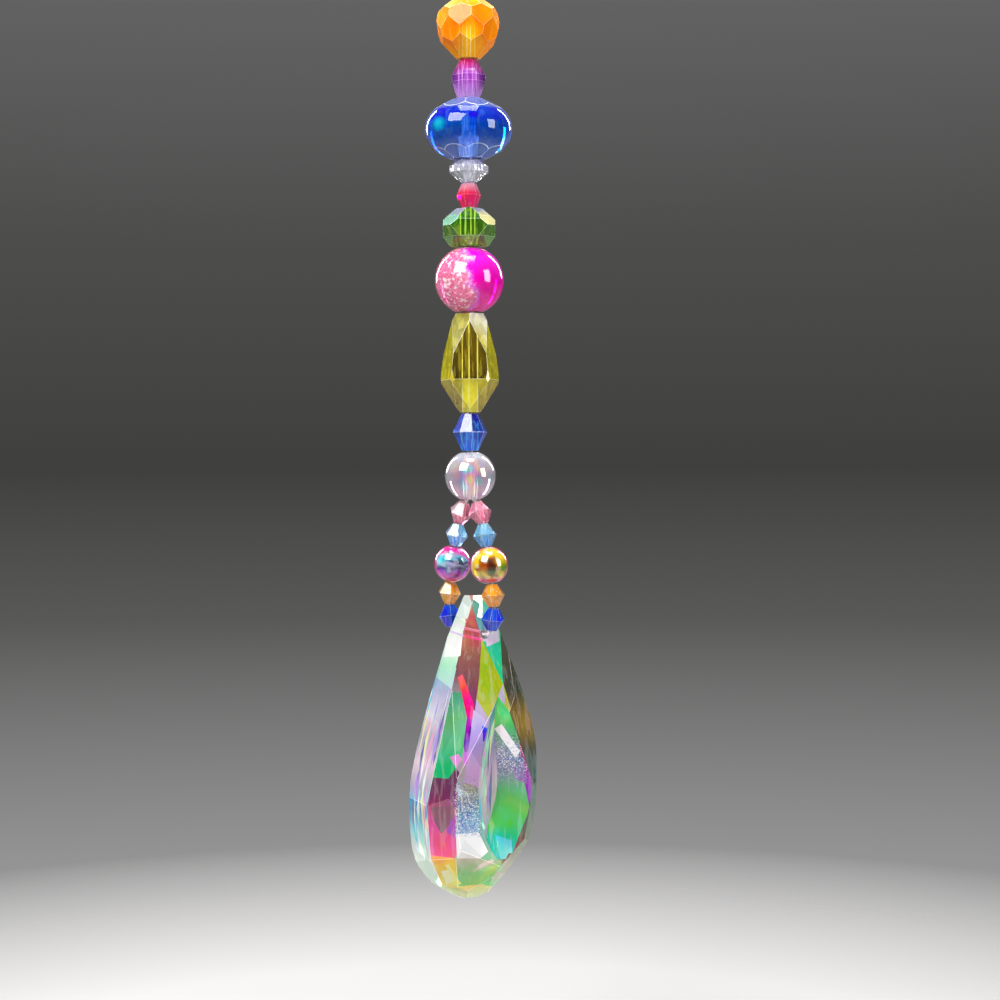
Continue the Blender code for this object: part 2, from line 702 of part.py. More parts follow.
def add_scoop(bm, face):
    """Adds one almond scoop to a cutter: a steep wall on its left and a long hollow floor."""
    steps = 18
    blunt = 0.015
    runs = [(1 - math.cos(math.pi * step / steps)) / 2 for step in range(steps + 1)]
    shares = [blunt + (1 - 2 * blunt) * run for run in runs]
    rows = [[bm.verts.new(place) for place in scoop_section(share, face)] for share in shares]
    for upper, lower in zip(rows, rows[1:]):
        for index in range(len(upper)):
            after = (index + 1) % len(upper)
            bm.faces.new((upper[index], upper[after], lower[after], lower[index]))
    bm.faces.new(rows[0])
    bm.faces.new(rows[-1])


def prism_cuts():
    """One cutter for what is cut into the facets: both scoops, and the hole along X."""
    bm = bmesh.new()
    add_scoop(bm, 1)
    add_scoop(bm, -1)
    place = Matrix.Translation((0, 0, -PRISM_HOLE_DEPTH)) @ Matrix.Rotation(math.pi / 2, 4, "Y")
    bmesh.ops.create_cone(
        bm, cap_ends=True, segments=BORE_SIDES, radius1=PRISM_HOLE_RADIUS,
        radius2=PRISM_HOLE_RADIUS, depth=PRISM_HOLE_LENGTH * 2, matrix=place,
    )
    return bm


def make_prism(tip_height):
    bm = prism_blank()
    grind_prism(bm)
    prism = add_object("drop_prism", bm, glass("aurora_crystal", (0.95, 0.97, 0.95)),
                       (0, 0, tip_height))
    cutter = add_object("prism_cuts", prism_cuts(), prism.data.materials[0])
    cutter.parent = prism
    subtract(prism, cutter)


def thread_half_route(loop_centre, crimp_top, clear_centre, ends, hole_height):
    """Points of the thread's right leg as (x, z), from the top of its loop to the prism's axis."""
    loop_radius = RING_WIRE_RADIUS + THREAD_RADIUS + LOOP_CLEARANCE
    route = []
    for step in range(5):
        angle = math.pi / 2 * (1 - step / 4)
        route.append((loop_radius * math.cos(angle), loop_centre + loop_radius * math.sin(angle)))
    leg = THREAD_LEG_SPACING / 2
    route.append(((loop_radius + leg) / 2, (loop_centre + crimp_top) / 2))
    route.append((leg, crimp_top))
    clear_base = clear_centre - CLEAR_WIDTH / 2
    strand_top = ends[0][0]
    leave = clear_base + CLEAR_COUNTERSINK_DEPTH
    steps = 10
    bead_shares = (0.12, 0.5, 1.0)
    sag_share = 0.55
    for step in range(1, steps + 1):
        route.append((leg, crimp_top + (leave - crimp_top) * step / steps))
    route.append(((leg + strand_top.x) / 2 - THREAD_RADIUS / 3, clear_base + THREAD_RADIUS / 3))
    route.append((strand_top.x - THREAD_RADIUS / 2, strand_top.y + THREAD_RADIUS / 4))
    for top, base in ends:
        for share in bead_shares:
            point = top.lerp(base, share)
            route.append((point.x, point.y))
    last = ends[-1][1]
    mouth = PRISM_HOLE_LENGTH / 2 + THREAD_RADIUS
    sag = last.lerp(Vector((mouth, hole_height)), sag_share)
    route.append(((last.x + mouth) / 2 + THREAD_RADIUS * 1.5, sag.y))
    route.append((mouth, hole_height))
    route.append((mouth / 2, hole_height))
    return route


def make_thread(route):
    """One closed loop of thread: down the right leg, through the prism and up the left leg."""
    left = [(-x, z) for x, z in reversed(route[1:])]
    points = route + [(0.0, route[-1][1])] + left
    curve = bpy.data.curves.new("beading_thread", "CURVE")
    curve.dimensions = "3D"
    curve.bevel_depth = THREAD_RADIUS
    curve.bevel_resolution = THREAD_BEVEL_RESOLUTION
    spline = curve.splines.new("POLY")
    spline.points.add(len(points) - 1)
    for target, (x, z) in zip(spline.points, points):
        target.co = (x, 0, z, 1)
    spline.use_cyclic_u = True
    curve.materials.append(make_material("nylon_thread", (0.85, 0.8, 0.8), 0.3, 0.0, 0.4))
    thread = bpy.data.objects.new("beading_thread", curve)
    bpy.context.scene.collection.objects.link(thread)


def main():
    clear_scene()
    loop_centre = make_hanging_ring()
    crimp_top = loop_centre - LOOP_DROP
    strand_top = make_crimp(crimp_top)
    clear_centre = make_main_strand(strand_top)
    ends = side_axis_points(clear_centre)
    for side, hand in (("right", 1), ("left", -1)):
        make_side_strand(side, hand, ends)
    hole_height = ends[-1][1].y - PRISM_HANG
    make_prism(hole_height + PRISM_HOLE_DEPTH)
    make_thread(thread_half_route(loop_centre, crimp_top, clear_centre, ends, hole_height))


main()
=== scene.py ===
import math
import random

import bmesh
import bpy
from mathutils import Matrix, Vector
from mathutils import noise as field


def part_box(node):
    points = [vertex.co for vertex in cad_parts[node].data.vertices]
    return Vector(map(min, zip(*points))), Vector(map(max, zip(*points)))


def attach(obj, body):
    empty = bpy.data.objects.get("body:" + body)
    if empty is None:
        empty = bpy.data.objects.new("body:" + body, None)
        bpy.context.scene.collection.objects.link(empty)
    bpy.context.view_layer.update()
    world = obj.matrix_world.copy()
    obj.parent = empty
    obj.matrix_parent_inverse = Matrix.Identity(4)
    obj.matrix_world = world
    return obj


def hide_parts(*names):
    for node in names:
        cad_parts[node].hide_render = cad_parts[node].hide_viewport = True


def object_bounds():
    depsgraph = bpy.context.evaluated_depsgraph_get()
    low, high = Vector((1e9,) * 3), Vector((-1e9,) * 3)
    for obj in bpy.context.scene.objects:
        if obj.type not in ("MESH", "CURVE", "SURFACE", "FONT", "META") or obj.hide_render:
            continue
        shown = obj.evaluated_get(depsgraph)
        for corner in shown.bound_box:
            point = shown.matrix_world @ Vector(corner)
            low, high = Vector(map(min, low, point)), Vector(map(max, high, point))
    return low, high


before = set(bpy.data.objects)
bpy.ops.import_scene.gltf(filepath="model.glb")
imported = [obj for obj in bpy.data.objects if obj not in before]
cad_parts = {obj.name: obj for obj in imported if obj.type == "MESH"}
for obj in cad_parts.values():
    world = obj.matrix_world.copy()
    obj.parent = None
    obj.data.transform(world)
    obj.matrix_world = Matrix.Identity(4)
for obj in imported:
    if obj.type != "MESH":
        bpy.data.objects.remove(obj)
cad_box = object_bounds()
random.seed(7)

MM = 0.001
WELD = 0.002 * MM
CUT_SLACK = 0.0001 * MM
FLAT_ANGLE = math.radians(1.0)

# The photo's view: round the object, above the horizon, and the height of the picture at the object
CAMERA_AZIMUTH = 48.0
CAMERA_ELEVATION = 1.0
CAMERA_DISTANCE = 320 * MM
VIEW_HEIGHT = 167.5 * MM
VIEW_MIDDLE = -96.95 * MM
STRAND_SHIFT = 0.0295
CAMERA_ROLL = -0.3
SENSOR = 36.0

MAIN_BORE = 0.85 * MM
SIDE_BORE = 0.5 * MM

# How far the painted reflection of a bore's edge, a pale line, fades to each side, in millimetres
LINE_REACH = 0.16

# A bead's materials after its glass, by their place in its list
BORE_SLOT = 1
RIDGE_SLOT = 2

BALL_ROWS = 48
BALL_STEPS = 96
BORE_ROWS = 10
BORE_MOUTH = 0.15 * MM

FLOOR_DROP = 42 * MM
FLOOR_RADIUS = 260 * MM
FLOOR_FADE = 0.45


def colour(red, green, blue):
    """A linear colour from the 0 to 255 values that a screen shows."""
    def linear(value):
        share = value / 255
        return share / 12.92 if share <= 0.04045 else ((share + 0.055) / 1.055) ** 2.4

    return (linear(red), linear(green), linear(blue), 1.0)


def clamped(share):
    return max(0.0, min(1.0, share))


def near(distance, reach):
    """1 at no distance, falling to 0 at the reach and past it."""
    return max(0.0, 1 - distance / reach)


def blend(first, second, share):
    share = clamped(share)
    return tuple(a + (b - a) * share for a, b in zip(first, second))


def between(first, second, share):
    """A blend of two colours, each as a screen's values."""
    return blend(colour(*first), colour(*second), share)


WHITE = (1.0, 1.0, 1.0, 1.0)


# Node helpers


def add(tree, kind, inputs=None, **settings):
    """Adds a node. An input is a plain value, or another node's output to link."""
    made = tree.nodes.new(kind)
    for name, value in settings.items():
        setattr(made, name, value)
    for name, value in (inputs or {}).items():
        if isinstance(value, bpy.types.NodeSocket):
            tree.links.new(value, made.inputs[name])
        else:
            made.inputs[name].default_value = value
    return made


def new_material(name):
    material = bpy.data.materials.new(name)
    material.use_nodes = True
    return material, material.node_tree


def surface(material, tone, roughness, **values):
    """Links a material's colour and roughness, where they are outputs, and sets its other values,
    named as the shader's are."""
    tree = material.node_tree
    shader = tree.nodes["Principled BSDF"]
    for name, value in {"Base Color": tone, "Roughness": roughness, **values}.items():
        socket = shader.inputs[name.replace("_", " ")]
        if isinstance(value, bpy.types.NodeSocket):
            tree.links.new(value, socket)
        else:
            socket.default_value = value
    return material


def millimetres(tree, stretch=(1.0, 1.0, 1.0)):
    """Object coordinates in millimetres, stretched as asked."""
    place = add(tree, "ShaderNodeTexCoord").outputs["Object"]
    scale = tuple(share / MM for share in stretch)
    return add(tree, "ShaderNodeMapping", {"Vector": place, "Scale": scale}).outputs["Vector"]


def cloud(tree, per_mm, detail=3.0, stretch=(1.0, 1.0, 1.0)):
    return add(tree, "ShaderNodeTexNoise", {
        "Vector": millimetres(tree, stretch), "Scale": per_mm, "Detail": detail,
    }).outputs["Fac"]


def cells(tree, per_mm, stretch=(1.0, 1.0, 1.0)):
    """One random number for each cell of a splintered pattern."""
    return add(tree, "ShaderNodeTexVoronoi", {
        "Vector": millimetres(tree, stretch), "Scale": per_mm,
    }).outputs["Color"]


def remap(tree, value, low, high, to_low, to_high):
    return add(tree, "ShaderNodeMapRange", {
        "Value": value, "From Min": low, "From Max": high, "To Min": to_low, "To Max": to_high,
    }).outputs["Result"]


def mix(tree, share, first, second, kind="MIX"):
    return add(tree, "ShaderNodeMixRGB", {"Fac": share, "Color1": first, "Color2": second},
               blend_type=kind).outputs["Color"]


def painted(tree):
    """The painted colour, and the share of sparkle or crackle kept in its alpha."""
    node = add(tree, "ShaderNodeAttribute", attribute_name="tint")
    return node.outputs["Color"], node.outputs["Alpha"]


def times(tree, first, second):
    """The product of two values, each a plain one or an output."""
    return add(tree, "ShaderNodeMath", {0: first, 1: second}, operation="MULTIPLY").outputs["Value"]


def crackle(tree, per_mm, width):
    """One on the cracks of a broken pattern, fading to nothing beside them."""
    away = add(tree, "ShaderNodeTexVoronoi", {
        "Vector": millimetres(tree), "Scale": per_mm,
    }, feature="DISTANCE_TO_EDGE").outputs["Distance"]
    return remap(tree, away, 0.0, width, 1.0, 0.0)


def crystal(name, transmission, roughness, ior, streak, streak_per_mm=1.6, streak_tone=WHITE,
            stretch=0.12, film=0.0, drift=0.02, splinter_glint=0.0, splinter_per_mm=1.1, sparkle=0.0,
            cracks=0.0, coat=0.15, shade=0.15):
    """Tinted glass. The tint is painted on each facet, and on many beads it holds painted light
    too.
    The nodes add what shows inside it: drifting hue, painted light and shade that changes from cell
    to cell, splinter glints that are painted reflections of the facets behind, upright streaks that
    are painted reflections of the bore, and painted glints (sparkle) or cracks as far as the
    paint's alpha asks."""
    material, tree = new_material(name)
    tint, amount = painted(tree)
    hue = remap(tree, cloud(tree, 0.35), 0.3, 0.7, 0.5 - drift, 0.5 + drift)
    # Painted light and shade: each cell is made lighter or darker by up to the shade
    value = remap(tree, cells(tree, splinter_per_mm * 0.7, (1.0, 1.0, 0.6)), 0.0, 1.0,
                  0.9 - shade, 0.9 + shade)
    body = add(tree, "ShaderNodeHueSaturation", {
        "Color": tint, "Hue": hue, "Saturation": 1.12, "Value": value,
    }).outputs["Color"]
    if streak:
        # Painted reflections of the bore: pale upright streaks in the streak tone
        lines = remap(tree, cloud(tree, streak_per_mm, 2.0, (1.0, 1.0, stretch)), 0.55, 0.60, 0.0,
                      streak)
        body = mix(tree, lines, body, streak_tone)
    if splinter_glint:
        # Painted reflections of the facets behind: a few cells turned towards white
        bright = remap(tree, cells(tree, splinter_per_mm), 0.74, 0.76, 0.0, splinter_glint)
        body = mix(tree, bright, body, WHITE)
    if sparkle:
        # Painted glints: white specks, and blue ones, as far as the paint's alpha asks
        glint = remap(tree, cells(tree, 7.0), 0.66, 0.70, 0.0, sparkle)
        body = mix(tree, times(tree, glint, amount), body, WHITE)
        hint = remap(tree, cells(tree, 5.0), 0.30, 0.33, sparkle * 0.8, 0.0)
        body = mix(tree, times(tree, hint, amount), body, colour(60, 90, 190))
    if cracks:
        fine = times(tree, crackle(tree, 1.7, 0.03), amount)
        body = mix(tree, times(tree, fine, cracks), body, colour(255, 246, 248))
        broad = times(tree, remap(tree, cloud(tree, 1.7, 5.0), 0.54, 0.60, 0.0, 1.0), amount)
        body = mix(tree, times(tree, broad, cracks), body, WHITE)
        deep = times(tree, remap(tree, cells(tree, 2.2), 0.3, 0.36, cracks, 0.0), amount)
        body = mix(tree, deep, body, colour(196, 84, 118))
    grain = remap(tree, cloud(tree, 2.5), 0.3, 0.7, roughness * 0.5, roughness * 1.5)
    return surface(material, body, grain, Transmission_Weight=transmission, IOR=ior,
                   Coat_Weight=coat, Coat_Roughness=0.02, Thin_Film_Thickness=film,
                   Thin_Film_IOR=1.8)


def bore_wall(name, tone, clear=0.75):
    """The drilled wall inside a bead: ground, so it scatters light along its scratches."""
    material, tree = new_material(name)
    lines = remap(tree, cloud(tree, 5.0, 2.0, (1.0, 1.0, 0.1)), 0.4, 0.6, 0.0, 0.8)
    return surface(material, mix(tree, lines, tone, WHITE), remap(tree, lines, 0.0, 1.0, 0.25, 0.5),
                   Transmission_Weight=clear, IOR=1.5)


def ridge_highlight_glass(name, highlight_share):
    """The ridge between two facets, with a painted highlight: its tint is mixed with white, so it
    shows as a pale line.
    """
    material, tree = new_material(name)
    tint, _ = painted(tree)
    pale = remap(tree, cloud(tree, 0.9), 0.35, 0.65, highlight_share * 0.5, highlight_share * 1.3)
    return surface(material, mix(tree, pale, tint, WHITE), remap(tree, pale, 0.0, 1.0, 0.3, 0.12),
                   Transmission_Weight=0.15, IOR=1.5)


def plated(name, tone, roughness):
    """Bright plated metal, dulled in patches by handling."""
    material, tree = new_material(name)
    dull = remap(tree, cloud(tree, 1.2), 0.35, 0.7, 1.0, 0.72)
    grain = remap(tree, cloud(tree, 6.0, 4.0), 0.3, 0.7, roughness * 0.6, roughness * 1.6)
    return surface(material, mix(tree, 1.0, tone, dull, "MULTIPLY"), grain, Metallic=1.0)


def nylon(name):
    """Clear line with a faint milky grain along it."""
    material, tree = new_material(name)
    grain = remap(tree, cloud(tree, 4.0, 3.0, (1.0, 1.0, 0.2)), 0.35, 0.65, 0.0, 1.0)
    tone = mix(tree, grain, colour(236, 214, 226), colour(250, 246, 250))
    return surface(material, tone, remap(tree, grain, 0.0, 1.0, 0.15, 0.35),
                   Transmission_Weight=0.45, IOR=1.53)


# Meshes, with unit vectors to the right of the photo's view and out towards it

VIEW_TURN = math.radians(CAMERA_AZIMUTH)
RIGHT = Vector((math.cos(VIEW_TURN), math.sin(VIEW_TURN), 0))
OUT = Vector((math.sin(VIEW_TURN), -math.cos(VIEW_TURN), 0))


def mesh_of(node):
    """A copy of a CAD node's mesh, welded, with its flat facets whole."""
    bm = bmesh.new()
    bm.from_mesh(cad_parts[node].data)
    bmesh.ops.remove_doubles(bm, verts=bm.verts, dist=WELD)
    bmesh.ops.dissolve_limit(bm, angle_limit=FLAT_ANGLE, verts=bm.verts, edges=bm.edges)
    bmesh.ops.recalc_face_normals(bm, faces=bm.faces)
    return bm


def centre_of(node):
    low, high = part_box(node)
    return (low + high) / 2


def paint(bm, centre, choose):
    """Gives each face corner the colour that choose(normal, x, y, z) names. The place is from the
    centre in millimetres: to the photo's right, towards its view, and up; so is the normal."""
    layer = bm.loops.layers.float_color.new("tint")
    for face in bm.faces:
        normal = Vector((face.normal.dot(RIGHT), face.normal.dot(OUT), face.normal.z))
        for loop in face.loops:
            away = (loop.vert.co - centre) / MM
            loop[layer] = choose(normal, away.dot(RIGHT), away.dot(OUT), away.z)


def mark_bore(bm, centre, radius):
    """Gives the faces of an upright bore their material."""
    for face in bm.faces:
        middle = face.calc_center_median() - centre
        if middle.xy.length < radius * 1.1 and abs(face.normal.z) < 0.4:
            face.material_index = BORE_SLOT


def new_object(name, data):
    made = bpy.data.objects.new(name, data)
    bpy.context.scene.collection.objects.link(made)
    return made


def mesh_object(name, bm, materials):
    mesh = bpy.data.meshes.new(name)
    bm.to_mesh(mesh)
    bm.free()
    for material in materials:
        mesh.materials.append(material)
    return new_object(name, mesh)


def link_piece(name, bm, materials, node):
    """Links a finished mesh as the piece that stands for a CAD node."""
    obj = mesh_object(name, bm, materials)
    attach(obj, "root")
    if node:
        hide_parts(node)


def cut_across(bm, place, normal, clear=False):
    """Cuts the whole mesh by a plane, and clears what lies past it when asked."""
    return bmesh.ops.bisect_plane(bm, geom=bm.faces[:] + bm.edges[:] + bm.verts[:],
                                  plane_co=place, plane_no=normal, dist=CUT_SLACK,
                                  clear_outer=clear)["geom_cut"]


def grind_ridges(bm, width, shortest=0.0, least=0.0, angle=12.0, clamp=True):
    """Grinds a narrow flat along each sharp ridge. Ridges below a length, or beside a facet below
    an area, are left. Clamped ones narrow where they would run into each other."""
    ridges = []
    for edge in bm.edges:
        if len(edge.link_faces) != 2 or edge.calc_length() < shortest:
            continue
        if min(face.calc_area() for face in edge.link_faces) < least:
            continue
        if edge.calc_face_angle() > math.radians(angle):
            ridges.append(edge)
    # Each flat takes the ridge material, which carries a painted highlight
    bmesh.ops.bevel(bm, geom=ridges, offset=width / 2, offset_type="OFFSET", segments=1,
                    affect="EDGES", clamp_overlap=clamp, material=RIDGE_SLOT)


def line_at(x, lines):
    """How near a place is to one of some upright lines: 1 on it and 0 beside it."""
    return near(min(abs(x - line) for line in lines), LINE_REACH)


def faceted(name, node, choose, glass, bore_tone, bore=MAIN_BORE, ridge=0.05 * MM, lines=(),
            ridge_highlight=0.4):
    """A faceted bead: the CAD solid with painted facets, a ground bore and ridges with a painted
    highlight.
    Its facets are cut along upright lines, where painted reflections of the bore's edges go as pale
    lines."""
    bm = mesh_of(node)
    centre = centre_of(node)
    grind_ridges(bm, ridge)
    for line in lines:
        for shift in (-LINE_REACH, 0, LINE_REACH):
            cut_across(bm, centre + RIGHT * (line + shift) * MM, RIGHT)
    paint(bm, centre, choose)
    mark_bore(bm, centre, bore)
    look = [glass, bore_wall(name + "_bore", bore_tone), ridge_highlight_glass(name + "_ridge", ridge_highlight)]
    link_piece(name, bm, look, node)


def turned(profile, steps):
    """A closed turned solid round +Z. The profile lists (radius, height) once round its section."""
    bm = bmesh.new()
    verts = [bm.verts.new((radius, 0, height)) for radius, height in profile]
    edges = [bm.edges.new(pair) for pair in zip(verts, verts[1:] + verts[:1])]
    bmesh.ops.spin(bm, geom=verts + edges, cent=(0, 0, 0), axis=(0, 0, 1), angle=2 * math.pi,
                   steps=steps, use_merge=True)
    bmesh.ops.remove_doubles(bm, verts=bm.verts, dist=WELD)
    bmesh.ops.recalc_face_normals(bm, faces=bm.faces)
    return bm


def oval_arc(radius, rise, limit, rows):
    """The outer side of an oval section, from an angle above its middle to the same below it."""
    angles = [limit - 2 * limit * row / rows for row in range(rows + 1)]
    return [(radius * math.cos(a), rise * math.sin(a)) for a in angles]


def ball_profile(radius, half_length, bore):
    """Section of a round bead with a straight bore and rounded mouths."""
    limit = math.asin(min(1.0, (half_length - BORE_MOUTH / 2) / radius))
    straight = half_length - BORE_MOUTH
    inner = [(bore, -straight + 2 * straight * row / BORE_ROWS) for row in range(BORE_ROWS + 1)]
    lip = BORE_MOUTH * 0.3
    return [*oval_arc(radius, radius, limit, BALL_ROWS), (bore + lip, -half_length + lip), *inner,
            (bore + lip, half_length - lip)]


def round_bead(name, node, choose, look, width, length, bore=MAIN_BORE, tilt=0.0):
    """A smooth round bead, finer than the CAD one and in its place."""
    bm = turned(ball_profile(width / 2, length / 2, bore), BALL_STEPS)
    for face in bm.faces:
        face.smooth = True
    centre = centre_of(node)
    turn = Matrix.Translation(centre) @ Matrix.Rotation(math.radians(tilt), 4, "Y")
    mark_bore(bm, Vector((0, 0, 0)), bore)
    bm.transform(turn)
    bm.normal_update()
    paint(bm, centre, choose)
    link_piece(name, bm, look, node)


# Metal and thread


def make_hardware():
    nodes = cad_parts
    nodes["hanging_ring"].data.materials[0] = plated("silver_wire", (0.8, 0.8, 0.81, 1.0), 0.10)
    nodes["crimp_tube"].data.materials[0] = plated("silver_tube", (0.78, 0.78, 0.79, 1.0), 0.14)
    nodes["beading_thread"].data.materials[0] = nylon("nylon_thread")


# Main strand


def make_orange():
    lines = (-1.5, -0.9, -0.2, 0.4, 1.1)

    def tint(normal, x, y, z):
        # Painted highlight: the crown's facets grow pale towards the sides
        if normal.z > 0.45:
            return between((248, 150, 40), (255, 214, 150), abs(x) / 4.5)
        side = (math.hypot(x, z) / 5.3) ** 3
        deep = between((240, 122, 0), (250, 146, 8), side)
        # Painted light: a bright yellow fan low in the middle, crossed by pale lines that are
        # painted reflections of the bore's edges
        low = clamped((-z - 1.2) / 1.2) * near(abs(x), 2.6)
        tone = blend(deep, colour(255, 206, 60), low)
        return blend(tone, colour(255, 244, 170), line_at(x, lines) * low * 0.9)

    glass = crystal("orange_acrylic", 0.22, 0.14, 1.28, streak=0.12, streak_per_mm=1.1,
                    streak_tone=colour(255, 206, 70), drift=0.006, coat=0.0, shade=0.06)
    faceted("orange_bead", "orange_round_bead", tint, glass,
            colour(255, 180, 50), ridge=0.06 * MM, lines=lines, ridge_highlight=0.12)


def make_purple():
    lines = (-1.6, -1.0, -0.2, 0.7, 1.35)

    def tint(normal, x, y, z):
        if z > 1.6:
            return between((150, 80, 170), (200, 60, 90), (z - 1.2) / 2.0)
        if z < -2.2:
            return colour(206, 170, 230)
        # Darker towards the sides, with pale lines that are painted reflections of the bore's edges
        tone = between((172, 92, 192), (64, 28, 84), (abs(x) / 2.9) ** 3)
        return blend(tone, colour(246, 170, 255), line_at(x, lines))

    glass = crystal("purple_acrylic", 0.5, 0.02, 1.49, streak=0.3, streak_per_mm=2.2,
                    streak_tone=colour(232, 150, 245))
    faceted("purple_bead", "purple_barrel_bead", tint, glass,
            colour(214, 130, 235), lines=lines, ridge_highlight=0.15)


# Cobalt bead: an oval with flat ends, wider bores from both, and ground facets, with a painted
# highlight along their edges
OVAL_RADIUS = 7.32 * MM
OVAL_HALF = 4.93 * MM
OVAL_END = 2.8 * MM
OVAL_CROWN_BORE = 1.5 * MM
OVAL_CROWN_DEPTH = 3.0 * MM
OVAL_BASE_BORE = 1.3 * MM
OVAL_BASE_DEPTH = 4.5 * MM
OVAL_BORE_STEP = 0.05 * MM
OVAL_FACETS = 8
OVAL_FACET_TURN = 20.0
OVAL_FACET_REACH = 0.80
OVAL_EDGE = 0.03 * MM
OVAL_RISE = OVAL_HALF / math.sqrt(1 - (OVAL_END / OVAL_RADIUS) ** 2)


def oval_profile():
    """Section of the cobalt bead before its facets are ground."""
    crown = OVAL_HALF - OVAL_CROWN_DEPTH
    base = OVAL_BASE_DEPTH - OVAL_HALF
    return oval_arc(OVAL_RADIUS, OVAL_RISE, math.asin(OVAL_HALF / OVAL_RISE), 40) + [
        (OVAL_BASE_BORE, -OVAL_HALF), (OVAL_BASE_BORE, base),
        (MAIN_BORE, base + OVAL_BORE_STEP), (MAIN_BORE, crown - OVAL_BORE_STEP),
        (OVAL_CROWN_BORE, crown), (OVAL_CROWN_BORE, OVAL_HALF)]


def oval_planes():
    """A point and an outward direction for each ground facet."""
    rim = OVAL_RADIUS * OVAL_FACET_REACH
    rim_height = OVAL_RISE * math.sqrt(1 - OVAL_FACET_REACH**2)
    planes = []
    for side in (1, -1):
        for index in range(OVAL_FACETS):
            azimuth = 2 * math.pi * index / OVAL_FACETS + math.radians(OVAL_FACET_TURN)
            out = Vector((math.cos(azimuth), math.sin(azimuth), 0))
            lean = out * (OVAL_HALF - rim_height) + Vector((0, 0, side * (rim - OVAL_END)))
            planes.append((out * rim + Vector((0, 0, side * rim_height)), lean.normalized()))
    return planes


def make_cobalt():
    """Cobalt bead: a smooth oval with eight broad facets ground on its crown and on its base."""
    node = "cobalt_rondelle_bead"
    centre = centre_of(node)
    bm = turned(oval_profile(), 120)
    for face in bm.faces:
        face.smooth = True
    planes = oval_planes()
    for point, normal in planes:
        cut_across(bm, point - normal * OVAL_EDGE, normal)
        edges = [item for item in cut_across(bm, point, normal, clear=True)
                 if isinstance(item, bmesh.types.BMEdge)]
        for face in bmesh.ops.edgeloop_fill(bm, edges=edges)["faces"]:
            face.smooth = False
    bmesh.ops.recalc_face_normals(bm, faces=bm.faces)
    # The thin band inside each facet's edge takes the ridge material, with its painted highlight
    for face in bm.faces:
        for point, normal in planes:
            lowest = min((vert.co - point).dot(normal) for vert in face.verts)
            if -1.05 * OVAL_EDGE < lowest < -0.5 * OVAL_EDGE:
                face.material_index = RIDGE_SLOT
    mark_bore(bm, Vector((0, 0, 0)), OVAL_CROWN_BORE)
    bm.transform(Matrix.Translation(centre))
    bm.normal_update()
    paint(bm, centre, cobalt_tint)
    look = [
        crystal("cobalt_acrylic", 0.66, 0.03, 1.4, streak=0.12, streak_tone=colour(120, 200, 250),
                drift=0.008, coat=0.0, shade=0.08),
        bore_wall("cobalt_bore", colour(90, 170, 255), 0.4),
        ridge_highlight_glass("cobalt_ridge", 0.6),
    ]
    link_piece("cobalt_bead", bm, look, node)


def cobalt_tint(normal, x, y, z):
    """Deep blue under the crown's edge, paler at the top, at the base and towards the outline, with
    a painted highlight as a bright spot on the left.
    """
    rim = max(0.0, (math.hypot(x / 7.35, z / 5.2) - 0.86) / 0.12)
    if z > 1.7:
        tone = between((22, 44, 215), (140, 150, 215), (z - 2.6) / 0.7)
    elif z > 0.2:
        tone = between((50, 96, 215), (10, 30, 215), z - 0.2)
    else:
        tone = between((150, 186, 236), (52, 96, 205), (z + 4.4) / 2.6)
    # Painted highlight: a bright spot on the left
    left_highlight = near(math.hypot((x + 4.9) / 1.3, (z - 0.1) / 1.4), 1.0) * 1.4
    return blend(blend(tone, colour(90, 226, 244), left_highlight), colour(150, 166, 226), rim)


def make_fluted():
    def tint(normal, x, y, z):
        return between((205, 212, 208), (236, 232, 248), (z + 1.8) / 2.6)

    glass = crystal("clear_acrylic", 0.75, 0.03, 1.49, streak=0.3, streak_per_mm=3.0, splinter_glint=0.2)
    faceted("fluted_bead", "clear_fluted_bead", tint, glass,
            colour(220, 225, 240), ridge=0.03 * MM)


def make_red():
    def tint(normal, x, y, z):
        if z > 0.3:
            return between((236, 40, 110), (244, 190, 215), (z - 0.3) / 1.3)
        return between((235, 18, 90), (250, 70, 140), -z / 2.0)

    glass = crystal("red_crystal", 0.6, 0.02, 1.6, streak=0.2, streak_tone=colour(255, 170, 200))
    faceted("red_bead", "red_bicone_bead", tint, glass, colour(240, 90, 140),
            ridge=0.025 * MM)


def make_green():
    lines = (-1.4, -0.6, 0.3, 0.95)

    def tint(normal, x, y, z):
        # Painted reflections: the upper facets are pale, lavender at the top, cream where they face
        # right and mint where they face left
        if normal.z > 0.3 and abs(normal.x) > 0.25:
            if z > 1.8:
                return colour(176, 176, 214)
            return colour(250, 238, 180) if normal.x > 0 else colour(150, 205, 190)
        if normal.z < -0.3:
            return between((44, 112, 20), (160, 214, 60), (-z - 1.6) / 2.2)
        if abs(normal.x) > 0.35:
            return between((48, 150, 48), (96, 176, 66), abs(x) / 4.4)
        tone = between((30, 84, 10), (60, 122, 16), (abs(x) + abs(z)) / 5)
        # Pale lines that are painted reflections of the bore's edges
        return blend(tone, colour(206, 246, 110), line_at(x, lines))

    glass = crystal("green_crystal", 0.5, 0.015, 1.55, streak=0.25, streak_per_mm=1.7,
                    streak_tone=colour(200, 240, 80), film=420.0)
    faceted("green_bead", "green_rondelle_bead", tint, glass,
            colour(190, 235, 90), lines=lines)


# How many flakes the crackle bead holds, and the millimetres from its middle that they keep to
FLAKES = 1500
FLAKES_FROM = 1.3
FLAKES_TO = 5.2
FLAKES_ROOM = 4.7


